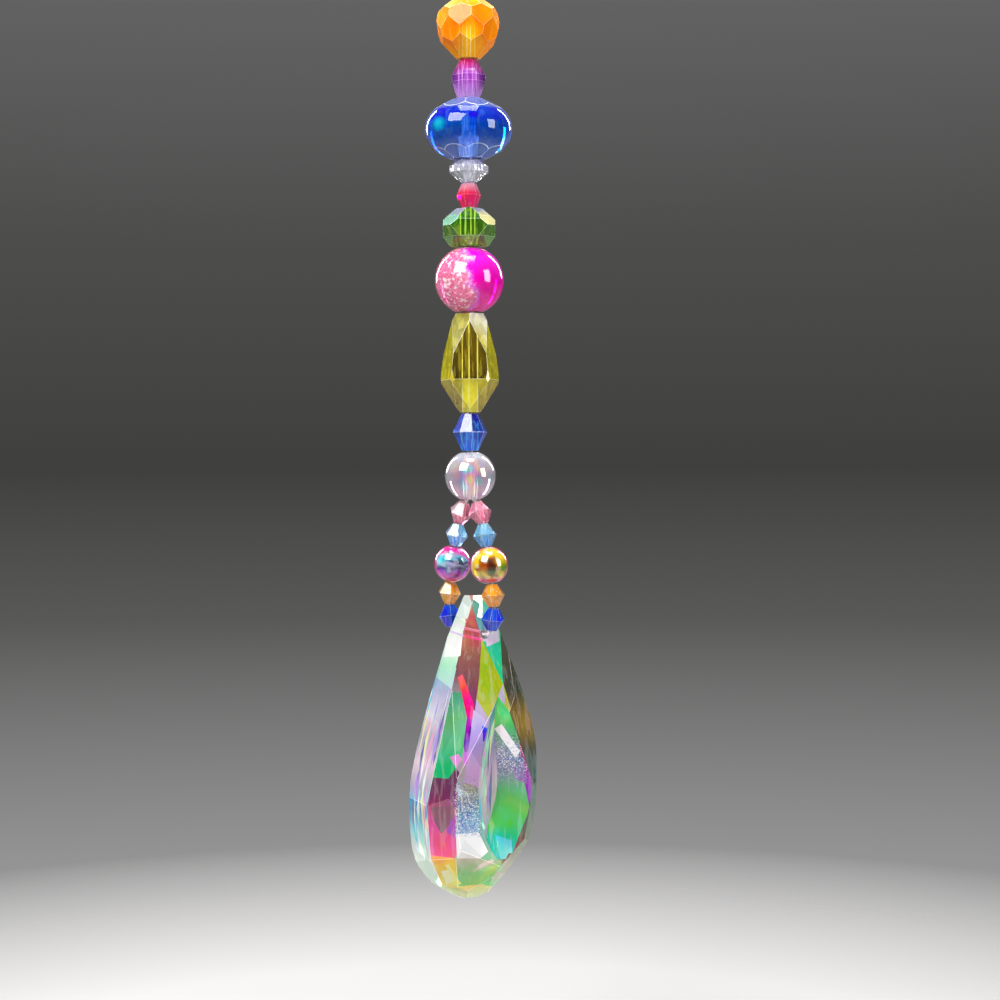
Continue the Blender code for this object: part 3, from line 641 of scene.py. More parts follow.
def make_crackle():
    def tint(normal, x, y, z):
        edge = field.noise(Vector((x, y, z)) * 0.45) * 2.2
        across = x + edge - 0.6 + 0.12 * z
        rose = between((238, 150, 176), (232, 110, 158), (abs(z) + abs(x)) / 8)
        lilac = colour(216, 120, 222)
        magenta = between((236, 10, 160), (236, 0, 210), (z + 2) / 6)
        amount = clamped(1.15 - (across + 1.0) / 1.6)
        if across < 0:
            tone = blend(rose, lilac, across + 1)
        else:
            tone = blend(lilac, magenta, across / 0.8)
        return tone[:3] + (amount,)

    look = [
        crystal("pink_crackle", 0.35, 0.03, 1.48, streak=0.0, cracks=0.6, drift=0.01, shade=0.16),
        bore_wall("crackle_bore", colour(240, 170, 210)),
    ]
    round_bead("crackle_bead", "pink_crackle_bead", tint, look,
               width=11.5 * MM, length=10.7 * MM)
    make_crackle_flakes()


def make_crackle_flakes():
    """The crackled heart of the bead: small broken faces of glass, turned every way."""
    centre = centre_of("pink_crackle_bead")
    bm = bmesh.new()
    while len(bm.faces) < FLAKES:
        spot = Vector([random.uniform(-FLAKES_TO, FLAKES_TO) for _ in range(3)])
        if spot.length > FLAKES_TO or spot.xy.length < FLAKES_FROM or abs(spot.z) > FLAKES_ROOM:
            continue
        if spot.dot(RIGHT) > 1.0 and random.random() < 0.8:
            continue
        normal = Vector([random.gauss(0, 1) for _ in range(3)]).normalized()
        side = normal.orthogonal().normalized()
        up = normal.cross(side)
        size = random.uniform(0.12, 0.5)
        corners = random.randint(3, 5)
        first = random.uniform(0, 2 * math.pi)
        verts = []
        for corner in range(corners):
            angle = first + 2 * math.pi * corner / corners
            reach = size * random.uniform(0.6, 1.0)
            place = spot + (side * math.cos(angle) + up * math.sin(angle)) * reach
            verts.append(bm.verts.new(centre + place * MM))
        bm.faces.new(verts)
    material, tree = new_material("crackle_flakes")
    glint = remap(tree, cloud(tree, 1.5), 0.35, 0.65, 0.0, 1.0)
    tone = mix(tree, glint, colour(250, 170, 200), colour(255, 250, 252))
    surface(material, tone, remap(tree, glint, 0.0, 1.0, 0.1, 0.3), Metallic=0.35, Alpha=0.7)
    link_piece("crackle_flakes", bm, [material], None)


def make_yellow():
    lines = (-1.3, -0.2, 1.2)

    def tint(normal, x, y, z):
        if abs(normal.z) < 0.01:
            return colour(226, 190, 30)
        # Base facets: bright yellow, darker to the sides, with dark bands and pale lines that are
        # painted reflections of the facets and the bore behind
        if z < -3.0 and normal.z < 0:
            tone = between((252, 240, 30), (176, 150, 6), abs(x) / 3.6)
            tone = blend(tone, colour(120, 96, 4), 0.8 if abs(abs(x) - 1.9) < 0.5 - z / 40 else 0)
            return blend(tone, colour(255, 255, 190), line_at(x, lines))
        # Painted shade: the front facet is dark olive where the dark surroundings show through,
        # with pale lines that are painted reflections of the bore's edges
        if normal.y > 0.85 and normal.z > 0:
            tone = between((64, 50, 2), (104, 86, 8), (z + 3) / 9)
            return blend(tone, colour(240, 228, 120), line_at(x, lines))
        if normal.z > 0.2:
            # Painted highlight: the upper facets facing right grow pale towards the top
            if normal.x > 0.1:
                return between((196, 186, 80), (246, 246, 232), (z - 4.4) / 1.8)
            return between((196, 190, 130), (176, 172, 90), (z - 3.0) / 4)
        return between((200, 190, 70), (176, 168, 50), abs(x) / 5)

    glass = crystal("yellow_crystal", 0.45, 0.012, 1.5, streak=0.15, streak_per_mm=2.2,
                    streak_tone=colour(246, 230, 70), stretch=0.004, drift=0.012,
                    splinter_per_mm=1.3, shade=0.36)
    faceted("yellow_bead", "yellow_drop_bead", tint, glass,
            colour(240, 225, 80), lines=lines)


def make_royal():
    lines = (-1.4, -0.6, 0.5, 1.25)

    def tint(normal, x, y, z):
        if z > 0:
            # Painted highlight: the upper facets facing left are paler
            if normal.x < -0.3:
                return colour(96, 108, 196)
            return between((14, 28, 120), (24, 56, 180), abs(x) / 2.6)
        tone = between((6, 50, 170), (10, 104, 225), -z / 3)
        # Pale lines that are painted reflections of the bore's edges
        return blend(tone, colour(70, 180, 255), line_at(x, lines))

    glass = crystal("royal_crystal", 0.5, 0.015, 1.5, streak=0.3, streak_per_mm=2.0,
                    streak_tone=colour(90, 170, 255))
    faceted("royal_bead", "royal_bicone_bead", tint, glass,
            colour(90, 150, 250), lines=lines)


def aurora(spot, seed, pale):
    """A pastel colour of the iridescent coat, drifting from hue to hue over the surface."""
    hues = [(255, 170, 120), (250, 235, 120), (140, 225, 160), (110, 215, 225), (170, 150, 240),
            (245, 130, 200)]
    level = (field.noise(spot * 0.55 + Vector((seed, 0, 0))) * 0.5 + 0.5) * len(hues) * 1.6
    first = int(level) % len(hues)
    tone = between(hues[first], hues[(first + 1) % len(hues)], level - int(level))
    return blend(tone, colour(236, 238, 236), pale)


def make_clear():
    def tint(normal, x, y, z):
        spot = Vector((x, y, z))
        return aurora(spot, 3.1, 0.95 - 0.75 * clamped(near(math.hypot(x, z), 3.9) * 1.5))

    look = [crystal("clear_aurora", 0.72, 0.015, 1.52, streak=0.05, splinter_glint=0.1, film=500.0,
                    coat=0.5),
            bore_wall("clear_bore", colour(235, 235, 240), 0.97)]
    round_bead("clear_bead", "clear_round_bead", tint, look,
               width=8.5 * MM, length=8.0 * MM)


# Side strands


def side_bicone(side, kind, top, base, glint, glass):
    """One small bicone. Its upper and lower facets have their own tints, and on a left bead the
    upper facets facing left carry a painted glint.
    """
    lines = (-0.7, 0.0, 0.6)

    def tint(normal, x, y, z):
        if z > 0 and normal.x < -0.45 and side == "left":
            return glint
        tone = blend(base, top, 0.5 + z / 3)
        # Pale lines in the glint's colour are painted reflections of the bore's edges, stronger
        # below
        return blend(tone, glint, line_at(x, lines) * (0.7 if z < 0.1 else 0.25))

    faceted(f"{side}_{kind}", f"{side}_{kind}_bead", tint, glass, blend(base, WHITE, 0.4),
            SIDE_BORE, 0.03 * MM, lines)


def make_side_bicones():
    # Each kind: material name, upper and lower tints, the painted glint's colour, and transmission
    kinds = {
        "rose_bicone": ("rose_crystal", (255, 184, 204), (250, 140, 176), (255, 226, 236), 0.75),
        "sky_bicone": ("sky_crystal", (170, 226, 250), (96, 176, 240), (215, 226, 250), 0.75),
        "amber_bicone": ("amber_crystal", (250, 172, 70), (250, 176, 30), (250, 205, 150), 0.6),
        "royal_bicone": ("royal_crystal", (40, 84, 205), (14, 66, 215), (150, 150, 226), 0.5),
    }
    for kind, (slot, top, base, glint, clear) in kinds.items():
        # Specks and streaks are painted reflections; the royal beads have none
        specks = 0.0 if kind == "royal_bicone" else 0.12
        glass = crystal(slot + "_side", clear, 0.02, 1.48, streak=2 * specks, streak_per_mm=2.6,
                        splinter_glint=specks, splinter_per_mm=1.6, shade=0.3)
        for side in ("left", "right"):
            side_bicone(side, kind, colour(*top), colour(*base), colour(*glint), glass)


def make_side_rounds():
    def left_tint(normal, x, y, z):
        wave = field.noise(Vector((x, y, z)) * 0.8) * 0.9
        level = z + wave + 0.12 * x
        bands = [(-3.2, (225, 40, 150)), (-1.9, (200, 60, 190)), (-1.2, (150, 60, 190)),
                 (-0.5, (70, 60, 120)), (0.1, (190, 190, 225)), (0.6, (60, 70, 110)),
                 (1.3, (120, 200, 225)), (2.2, (230, 90, 170)), (3.2, (240, 60, 140))]
        tone = banded(level, bands)
        cyan = clamped((-x - 0.4) / 1.6) * near(abs(z - 0.7), 1.3)
        rim = max(0.0, math.hypot(x, z) - 2.45) * 1.6
        return blend(blend(tone, colour(110, 225, 235), cyan), colour(236, 50, 150), rim)

    def right_tint(normal, x, y, z):
        wave = field.noise(Vector((x, y, z)) * 0.9 + Vector((9, 2, 4))) * 1.3
        away = math.hypot(x, z + 0.1) + wave
        heart = between((70, 26, 4), (176, 92, 12), (away - 0.6) / 0.9)
        tone = blend(heart, colour(226, 184, 30), (away - 1.5) / 0.5)
        green = clamped(x - 1.2) * near(abs(z + 0.3), 1.7)
        rim = max(0.0, (-z - 1.75) * 1.5) + max(0.0, math.hypot(x, z) - 2.75) * 2
        return blend(blend(tone, colour(50, 130, 40), green), colour(232, 30, 140), rim)

    for side, tint, tilt in (("left", left_tint, 12.0), ("right", right_tint, -12.0)):
        look = [crystal(f"rainbow_glass_{side}", 0.3, 0.06, 1.52, streak=0.0, splinter_glint=0.2,
                        splinter_per_mm=1.2, film=520.0, coat=0.9, drift=0.03),
                bore_wall(f"rainbow_bore_{side}", colour(220, 170, 210))]
        round_bead(f"{side}_rainbow_round", f"{side}_rainbow_round_bead", tint,
                   look, width=6.3 * MM, length=5.9 * MM, bore=SIDE_BORE, tilt=tilt)


def banded(level, bands):
    """The colour at a level of a stack of (level, colour) bands, blended between them."""
    if level <= bands[0][0]:
        return colour(*bands[0][1])
    for (low, first), (high, second) in zip(bands, bands[1:]):
        if level < high:
            return between(first, second, (level - low) / (high - low))
    return colour(*bands[-1][1])


# Drop prism

PRISM_HEIGHT = 51.0 * MM
PRISM_HALF_WIDTH = 10.8 * MM
PRISM_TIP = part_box("drop_prism")[0].z + PRISM_HEIGHT
PRISM_BORE = 1.0 * MM
PRISM_BORE_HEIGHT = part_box("drop_prism")[1].z - 6.4 * MM
PAINT_STEP = 2.0 * MM
FRONT_LEAN = 0.12

# Only long ridges between broad facets are ground
RIDGE_WIDTH = 0.08 * MM
RIDGE_LENGTH = 2.5 * MM
RIDGE_FACET_AREA = 14 * MM**2
RIDGE_ANGLE = 9.0

# The kinds of face
FACET = 1
WALL = 2
FLOOR = 3

# Spots: (across, down), a share of the half width to the right of the axis, as seen from the
# front, and a share of the height below the tip. The back is the front after a half turn
TIP = (0.04, 0.02)
BAND_TOP = (-0.085, 0.085)
BAND_UPPER = (-0.3, 0.3)
BAND_LOWER = (-0.695, 0.675)
BAND_FOOT = (-0.64, 0.855)
BAND_BASE = (-0.46, 0.945)
MIDDLE_TOP = (0.165, 0.145)
MIDDLE_UPPER = (0.08, 0.335)
MIDDLE_KNEE = (-0.2, 0.55)
MIDDLE_LOWER = (-0.27, 0.67)
MIDDLE_FOOT = (-0.255, 0.847)
MIDDLE_BASE = (-0.1, 0.966)
RIGHT_TOP = (0.43, 0.123)
RIGHT_BELLY = (0.95, 0.62)
RIGHT_LOWER = (0.8, 0.8)
RIGHT_BASE = (0.33, 0.965)
ALMOND_TOP = (0.5, 0.275)
ALMOND_BASE = (0.463, 0.863)
ALMOND_BOW_LEFT = 0.38
ALMOND_BOW_RIGHT = 0.45
ALMOND_FACET_LEAN = 0.357
WALL_LEAN = 0.5
WALL_LIMIT = 0.46


def side_of(face):
    """1 for a face of the prism's front and -1 for one of its back."""
    return 1 if face.normal.dot(OUT) > 0 else -1


def spot_of(place, side):
    """The spot of a place, as seen from that side."""
    return (side * place.dot(RIGHT) / PRISM_HALF_WIDTH, (PRISM_TIP - place.z) / PRISM_HEIGHT)


def inside(spot, corners):
    """Whether a spot lies inside a polygon of spots."""
    hit = False
    for (x1, y1), (x2, y2) in zip(corners, corners[1:] + corners[:1]):
        if (y1 > spot[1]) != (y2 > spot[1]):
            if spot[0] < x1 + (x2 - x1) * (spot[1] - y1) / (y2 - y1):
                hit = not hit
    return hit


# Colours of whole facets, named by corners round them: (corners, colours from the top down). They
# are the coat's own colours mixed with painted reflections of the facets behind, near white where
# they are painted highlights
FACET_COLOURS_AND_REFLECTIONS = [
    ([TIP, BAND_TOP, (-0.3, 0.2), (-0.6, 0.0)], [(222, 232, 226), (188, 214, 206)]),
    ([TIP, (0.4, 0.0), RIGHT_TOP, MIDDLE_TOP], [(70, 205, 190), (150, 215, 205)]),
    ([TIP, MIDDLE_TOP, BAND_TOP], [(205, 145, 130), (214, 150, 135)]),
    ([BAND_TOP, BAND_UPPER, (-1.0, 0.33), (-0.6, 0.05)],
     [(210, 235, 215), (250, 255, 248), (176, 232, 204), (200, 214, 236)]),
    ([BAND_UPPER, BAND_LOWER, (-1.3, 0.7), (-1.0, 0.25)],
     [(150, 200, 225), (186, 180, 210), (226, 222, 236), (170, 168, 186), (236, 214, 224),
      (184, 176, 196), (130, 196, 232)]),
    ([BAND_LOWER, BAND_FOOT, (-1.3, 0.88), (-1.3, 0.65)],
     [(70, 170, 225), (110, 150, 215), (150, 214, 236), (216, 226, 230), (252, 252, 248)]),
    ([BAND_FOOT, BAND_BASE, (-0.9, 1.0), (-1.3, 0.86)], [(250, 252, 250), (232, 240, 240)]),
    ([BAND_TOP, MIDDLE_TOP, MIDDLE_UPPER, BAND_UPPER],
     [(226, 140, 128), (150, 112, 88), (126, 72, 92), (150, 150, 150)]),
    ([BAND_UPPER, MIDDLE_UPPER, MIDDLE_KNEE, BAND_LOWER],
     [(70, 150, 112), (120, 190, 140), (66, 186, 128), (24, 184, 118)]),
    ([BAND_LOWER, MIDDLE_KNEE, MIDDLE_LOWER, MIDDLE_FOOT, BAND_FOOT],
     [(92, 48, 74), (120, 60, 96), (226, 66, 140), (244, 96, 150)]),
    ([BAND_FOOT, MIDDLE_FOOT, MIDDLE_BASE, BAND_BASE],
     [(250, 170, 40), (255, 210, 30), (255, 236, 80), (255, 250, 190)]),
    ([MIDDLE_TOP, ALMOND_TOP, MIDDLE_UPPER], [(150, 194, 60), (168, 190, 56), (182, 186, 92)]),
    ([MIDDLE_TOP, RIGHT_TOP, ALMOND_TOP], [(8, 212, 150), (48, 222, 168)]),
    ([MIDDLE_UPPER, ALMOND_TOP, ALMOND_BASE, MIDDLE_FOOT, MIDDLE_KNEE],
     [(208, 190, 222), (190, 168, 206), (160, 150, 150), (130, 170, 186), (120, 196, 140)]),
    ([RIGHT_TOP, (0.6, 0.1), (1.05, 0.4), ALMOND_TOP], [(70, 80, 62), (62, 58, 44)]),
    ([ALMOND_TOP, (1.05, 0.4), (1.1, 0.62), RIGHT_BELLY], [(150, 120, 66), (58, 66, 60)]),
    ([RIGHT_BELLY, (1.15, 0.62), (1.05, 0.82), RIGHT_LOWER], [(86, 116, 112), (96, 92, 70)]),
    ([RIGHT_LOWER, (1.0, 0.82), (0.6, 0.95), ALMOND_BASE], [(104, 84, 62), (128, 90, 66)]),
    ([MIDDLE_FOOT, ALMOND_BASE, RIGHT_BASE, MIDDLE_BASE],
     [(198, 190, 170), (104, 206, 120), (130, 214, 110)]),
    ([ALMOND_BASE, (0.7, 0.9), RIGHT_BASE], [(150, 120, 96), (206, 190, 160)]),
    ([MIDDLE_BASE, RIGHT_BASE, (0.1, 1.02)], [(238, 232, 170), (248, 248, 232)]),
]

# Painted reflections of other facets that show inside these, white where they are painted
# highlights: (corners, colours from the top down)
PATCHES = [
    ([(0.47, 0.12), (0.62, 0.17), (1.08, 0.42), (1.12, 0.62), (0.93, 0.6), (0.7, 0.44),
      (0.49, 0.29), (0.45, 0.2)],
     [(74, 84, 66), (60, 58, 46), (48, 52, 44), (160, 128, 64), (62, 74, 70), (92, 122, 120)]),
    ([(0.18, 0.155), (0.486, 0.292), (0.253, 0.397), (0.088, 0.338)],
     [(150, 194, 60), (168, 190, 56), (182, 186, 92)]),
    ([(0.19, 0.155), (0.45, 0.125), (0.486, 0.292)], [(20, 206, 160), (8, 212, 150)]),
    ([(-0.37, 0.149), (-0.136, 0.139), (-0.167, 0.198), (-0.43, 0.208)], [(255, 255, 255)]),
    ([(0.01, 0.03), (0.16, 0.145), (0.12, 0.263), (0.05, 0.375), (-0.2, 0.263), (-0.136, 0.15)],
     [(208, 140, 124), (204, 112, 102), (140, 98, 84), (124, 78, 88), (112, 62, 86)]),
    ([(-0.213, 0.266), (-0.136, 0.257), (0.04, 0.355), (0.02, 0.4), (-0.074, 0.394),
      (-0.15, 0.32)], [(252, 128, 128), (246, 84, 132), (236, 84, 160)]),
    ([(-0.074, 0.394), (0.02, 0.4), (-0.012, 0.469), (-0.074, 0.534), (-0.13, 0.485)],
     [(190, 70, 180), (110, 50, 170), (196, 130, 196)]),
    ([(-0.02, 0.42), (0.01, 0.43), (-0.015, 0.452), (-0.04, 0.44)], [(70, 20, 130)]),
    ([(0.03, 0.37), (0.19, 0.395), (0.27, 0.425), (0.1, 0.62), (-0.12, 0.6)],
     [(214, 196, 226), (170, 160, 226), (196, 160, 204), (176, 140, 180)]),
    ([(0.16, 0.42), (0.25, 0.43), (0.22, 0.475), (0.17, 0.47)], [(84, 104, 236)]),
    ([(-0.34, 0.52), (-0.21, 0.508), (-0.15, 0.525), (-0.24, 0.552)], [(226, 156, 220)]),
    ([(-0.13, 0.505), (-0.04, 0.5), (-0.06, 0.54), (-0.12, 0.545)], [(206, 130, 214)]),
    ([(-0.12, 0.6), (0.1, 0.62), (0.1, 0.765), (-0.25, 0.765), (-0.22, 0.66)],
     [(150, 146, 116), (112, 128, 120), (130, 178, 206), (150, 190, 222)]),
    ([(-0.25, 0.765), (0.1, 0.765), (0.24, 0.83), (0.13, 0.85), (-0.235, 0.847)],
     [(255, 255, 255)]),
    ([(-0.63, 0.683), (-0.275, 0.67), (-0.275, 0.72), (-0.475, 0.77), (-0.58, 0.73)],
     [(104, 52, 80), (86, 44, 70)]),
    ([(-0.4, 0.76), (-0.27, 0.7), (-0.26, 0.78)], [(150, 70, 190)]),
    ([(-0.5, 0.9), (-0.38, 0.89), (-0.28, 0.93), (-0.4, 0.945)], [(255, 252, 206)]),
    ([(0.2, 0.885), (0.44, 0.87), (0.3, 0.91), (0.1, 0.94)], [(140, 214, 110)]),
    ([(0.2, 0.112), (0.42, 0.112), (0.44, 0.155), (0.24, 0.17)], [(226, 214, 236)]),
    ([(-0.62, 0.86), (-0.5, 0.89), (-0.42, 0.93), (-0.56, 0.9)], [(255, 226, 120)]),
    ([(-0.42, 0.875), (-0.36, 0.87), (-0.2, 0.93), (-0.26, 0.935)], [(255, 244, 160)]),
    ([(0.12, 0.87), (0.3, 0.855), (0.34, 0.862), (0.0, 0.9)], [(214, 200, 190)]),
    ([(-0.4, 0.95), (0.15, 0.945), (0.3, 0.965), (0.1, 1.0), (-0.2, 1.0)],
     [(250, 230, 120), (252, 250, 220)]),
    # Painted images of the thread, seen through the glass near the top
    ([(-0.31, 0.096), (0.34, 0.126), (0.34, 0.133), (-0.31, 0.103)], [(244, 236, 250)]),
    ([(-0.11, 0.106), (0.17, 0.119), (0.17, 0.126), (-0.11, 0.113)], [(252, 150, 160)]),
    ([(-0.33, 0.12), (0.38, 0.153), (0.38, 0.16), (-0.33, 0.127)], [(232, 204, 240)]),
    ([(-0.12, 0.13), (0.18, 0.144), (0.18, 0.151), (-0.12, 0.137)], [(250, 110, 140)]),
]

# The scoop's wall and floor: the coat's colours and painted reflections of the facets behind; its
# patches are painted reflections, the white one a painted highlight
ALMOND_WALL_TINTS = [(90, 150, 150), (70, 120, 170), (150, 150, 190), (200, 176, 200),
                     (206, 200, 196), (180, 180, 210), (214, 190, 170)]
ALMOND_FLOOR_TINTS = [(0, 170, 70), (0, 226, 86), (0, 226, 92), (40, 170, 104), (104, 130, 150),
                      (120, 130, 150), (104, 176, 124), (110, 200, 104), (100, 206, 112),
                      (50, 200, 160), (90, 214, 220)]
ALMOND_PATCHES = [
    ([(0.72, 0.45), (0.93, 0.49), (0.98, 0.6), (0.97, 0.7), (0.88, 0.69), (0.78, 0.58)],
     [(190, 70, 110), (176, 50, 130), (150, 60, 170), (130, 80, 180)]),
    ([(0.62, 0.53), (0.78, 0.53), (0.86, 0.62), (0.66, 0.6)], [(96, 130, 150), (150, 90, 170)]),
    ([(0.35, 0.435), (0.46, 0.42), (0.74, 0.51), (0.68, 0.535)], [(255, 255, 255)]),
    ([(0.35, 0.78), (0.6, 0.8), (0.62, 0.85), (0.44, 0.87)], [(90, 220, 226), (150, 232, 230)]),
]

# Streaks are painted reflections of far facets, between two lines of spots: in the left band, and
# in the scoop's wall
LEFT_RIM = [(-0.33, 0.10), (-0.58, 0.276), (-0.85, 0.497), (-0.98, 0.668), (-0.95, 0.79),
            (-0.80, 0.90)]
LEFT_BAND = [BAND_TOP, BAND_UPPER, BAND_LOWER, BAND_FOOT, BAND_BASE]
WALL_RIM = [(0.40, 0.34), (0.20, 0.44), (0.08, 0.60), (0.09, 0.72), (0.22, 0.82), (0.46, 0.863)]
WALL_FOOT = [(0.45, 0.34), (0.38, 0.44), (0.36, 0.56), (0.33, 0.68), (0.34, 0.78), (0.47, 0.86)]
STREAK_TONES = [(252, 252, 255), (252, 252, 255), (120, 214, 240), (246, 176, 214),
                (196, 160, 236), (250, 240, 190), (176, 240, 210), (120, 130, 170)]


def across_at(line, level):
    """How far across a line of spots is at a level down."""
    for (x1, y1), (x2, y2) in zip(line, line[1:]):
        if level <= y2:
            return x1 + (x2 - x1) * max(0.0, (level - y1) / (y2 - y1))
    return line[-1][0]


def streaks(left, right, count, top, base, width):
    """Thin painted reflections of far facets, drawn out along the band between two lines of spots.
    """
    found = []
    for _ in range(count):
        share = random.uniform(0.04, 0.94)
        length = random.uniform(0.06, 0.2)
        start = random.uniform(top, base - length)
        levels = (start, start + length * random.uniform(0.4, 0.6), start + length)
        places = [across_at(left, level) * (1 - share) + across_at(right, level) * share
                  for level in levels]
        half = width * random.uniform(0.35, 1.0)
        corners = [(places[0], levels[0]), (places[1] + half, levels[1]),
                   (places[2], levels[2]), (places[1] - half, levels[1])]
        found.append((corners, [random.choice(STREAK_TONES)]))
    return found


def tones_at(tones, share):
    """The colour at a share of the way down a list of colours."""
    level = max(0.0, min(0.9999, share)) * (len(tones) - 1)
    if len(tones) == 1:
        return colour(*tones[0])
    first = int(level)
    return between(tones[first], tones[first + 1], level - first)


def polygon_share(spot, corners):
    """How far down a polygon a spot lies."""
    top = min(corner[1] for corner in corners)
    base = max(corner[1] for corner in corners)
    return (spot[1] - top) / (base - top)


def nearest_facet(spot):
    """The tinted facet whose middle is nearest, for slivers that none encloses."""
    def away(entry):
        corners = entry[0]
        x = sum(corner[0] for corner in corners) / len(corners)
        y = sum(corner[1] for corner in corners) / len(corners)
        return math.hypot(spot[0] - x, (spot[1] - y) * 4)

    return min(FACET_COLOURS_AND_REFLECTIONS, key=away)


def spots_box(spots):
    """The least and greatest across, then the least and greatest down."""
    across, down = zip(*spots)
    return min(across), max(across), min(down), max(down)


def cut_along(bm, corners, side):
    """Splits the facets of one side along the edges of a polygon of spots."""
    out = OUT * side
    left, right, top, base = spots_box(corners)
    for (x1, y1), (x2, y2) in zip(corners, corners[1:] + corners[:1]):
        start = RIGHT * side * x1 * PRISM_HALF_WIDTH + Vector((0, 0, PRISM_TIP - y1 * PRISM_HEIGHT))
        along = RIGHT * side * (x2 - x1) * PRISM_HALF_WIDTH
        along += Vector((0, 0, (y1 - y2) * PRISM_HEIGHT))
        parts = set()
        for face in bm.faces:
            if face.normal.dot(out) < FRONT_LEAN:
                continue
            low_x, high_x, low_y, high_y = spots_box([spot_of(v.co, side) for v in face.verts])
            if low_x <= right and high_x >= left and low_y <= base and high_y >= top:
                parts.update([face, *face.edges, *face.verts])
        bmesh.ops.bisect_plane(bm, geom=list(parts), plane_co=start,
                               plane_no=along.cross(out).normalized(), dist=CUT_SLACK)


def almond_outline():
    """The scoop's outline as spots: down its left side, then up its right one."""
    left, right = [], []
    steps = 40
    for step in range(steps + 1):
        share = step / steps
        across = ALMOND_TOP[0] + (ALMOND_BASE[0] - ALMOND_TOP[0]) * share
        level = ALMOND_TOP[1] + (ALMOND_BASE[1] - ALMOND_TOP[1]) * share
        bow_left = max(0.0, math.sin(math.pi * share**1.3)) ** 0.6
        bow_right = max(0.0, math.sin(math.pi * share**1.1)) ** 0.6
        left.append((across - ALMOND_BOW_LEFT * bow_left, level))
        right.append((across + ALMOND_BOW_RIGHT * bow_right, level))
    return left + right[::-1]


def face_kind(face, outline):
    """Whether a face is a plain facet, or the scoop's wall or floor."""
    side = side_of(face)
    spot = spot_of(face.calc_center_median(), side)
    across = face.normal.dot(RIGHT) * side
    if not inside(spot, outline):
        return FACET
    if abs(across - ALMOND_FACET_LEAN) < 0.012 and face.normal.dot(OUT) * side > 0.9:
        return FACET
    if across > WALL_LEAN:
        return WALL if spot[0] < WALL_LIMIT else FACET
    return FLOOR


def painted_glint_at(spot, kind):
    """How much the painted glints, pale specks, show: in the middle column's foot and across the
    scoop's floor.
    """
    if kind == FLOOR:
        return near(abs(spot[1] - 0.53), 0.09) * 0.9
    if kind == FACET and -0.26 < spot[0] < 0.12:
        return clamped((spot[1] - 0.58) / 0.1) if spot[1] < 0.77 else 0.0
    return 0.0


def tones_of(spot, kind, images, wall_images):
    """The tones of the last painted reflection over a spot, or of its facet, and the polygon they
    fill.
    """
    corners, tones = nearest_facet(spot)
    entries = FACET_COLOURS_AND_REFLECTIONS + images
    if kind != FACET:
        tones = ALMOND_WALL_TINTS if kind == WALL else ALMOND_FLOOR_TINTS
        corners = [(0, ALMOND_TOP[1]), (0, ALMOND_BASE[1])]
        entries = wall_images if kind == WALL else ALMOND_PATCHES
    for edges, entry in entries:
        if inside(spot, edges):
            corners, tones = edges, entry
    return corners, tones


def make_prism():
    bm = mesh_of("drop_prism")
    grind_ridges(bm, RIDGE_WIDTH, RIDGE_LENGTH, RIDGE_FACET_AREA, RIDGE_ANGLE, clamp=False)
    outline = almond_outline()
    kind = bm.faces.layers.int.new("kind")
    for face in bm.faces:
        face[kind] = face_kind(face, outline)
    for level in range(1, int(PRISM_HEIGHT / PAINT_STEP)):
        cut_across(bm, Vector((0, 0, PRISM_TIP - level * PAINT_STEP)), Vector((0, 0, 1)))
    # Painted reflections: the patches and the streaks
    images = PATCHES + streaks(LEFT_RIM, LEFT_BAND, count=34, top=0.25, base=0.9, width=0.022)
    wall_images = streaks(WALL_RIM, WALL_FOOT, count=12, top=0.36, base=0.84, width=0.03)
    for side in (1, -1):
        for corners, _ in images + wall_images + ALMOND_PATCHES:
            cut_along(bm, corners, side)
    layer = bm.loops.layers.float_color.new("tint")
    for face in bm.faces:
        side = side_of(face)
        middle = face.calc_center_median()
        corners, tones = tones_of(spot_of(middle, side), face[kind], images, wall_images)
        face.smooth = face[kind] != FACET
        bore = middle - Vector((0, 0, PRISM_BORE_HEIGHT))
        if bore.yz.length < PRISM_BORE and abs(face.normal.x) < 0.5:
            face.material_index = BORE_SLOT
        for loop in face.loops:
            spot = spot_of(loop.vert.co, side)
            tone = tones_at(tones, polygon_share(spot, corners))
            # The alpha holds the share of painted glints
            loop[layer] = tone[:3] + (painted_glint_at(spot, face[kind]),)
    for edge in bm.edges:
        if len({face[kind] for face in edge.link_faces}) == 2:
            edge.smooth = False
    look = [crystal("aurora_crystal", 0.4, 0.012, 1.5, streak=0.08, streak_per_mm=1.1,
                    splinter_per_mm=0.5, film=430.0, drift=0.03, sparkle=0.9, coat=0.3,
                    shade=0.12),
            bore_wall("aurora_bore", colour(238, 228, 246), 0.5),
            ridge_highlight_glass("aurora_ridge", 0.35)]
    link_piece("prism", bm, look, "drop_prism")


# Stage


def make_floor():
    low, _ = cad_box
    bm = bmesh.new()
    bmesh.ops.create_circle(bm, cap_ends=True, segments=96, radius=FLOOR_RADIUS)
    material, tree = new_material("pale_floor")
    place = add(tree, "ShaderNodeTexCoord").outputs["Object"]
    away = add(tree, "ShaderNodeVectorMath", {0: place}, operation="LENGTH").outputs["Value"]
    solid = remap(tree, away, FLOOR_RADIUS * FLOOR_FADE, FLOOR_RADIUS, 1.0, 0.0)
    surface(material, (0.36, 0.355, 0.35, 1.0), 0.7, Alpha=solid)
    floor = mesh_object("floor", bm, [material])
    floor.location = (0, 0, low.z - FLOOR_DROP)


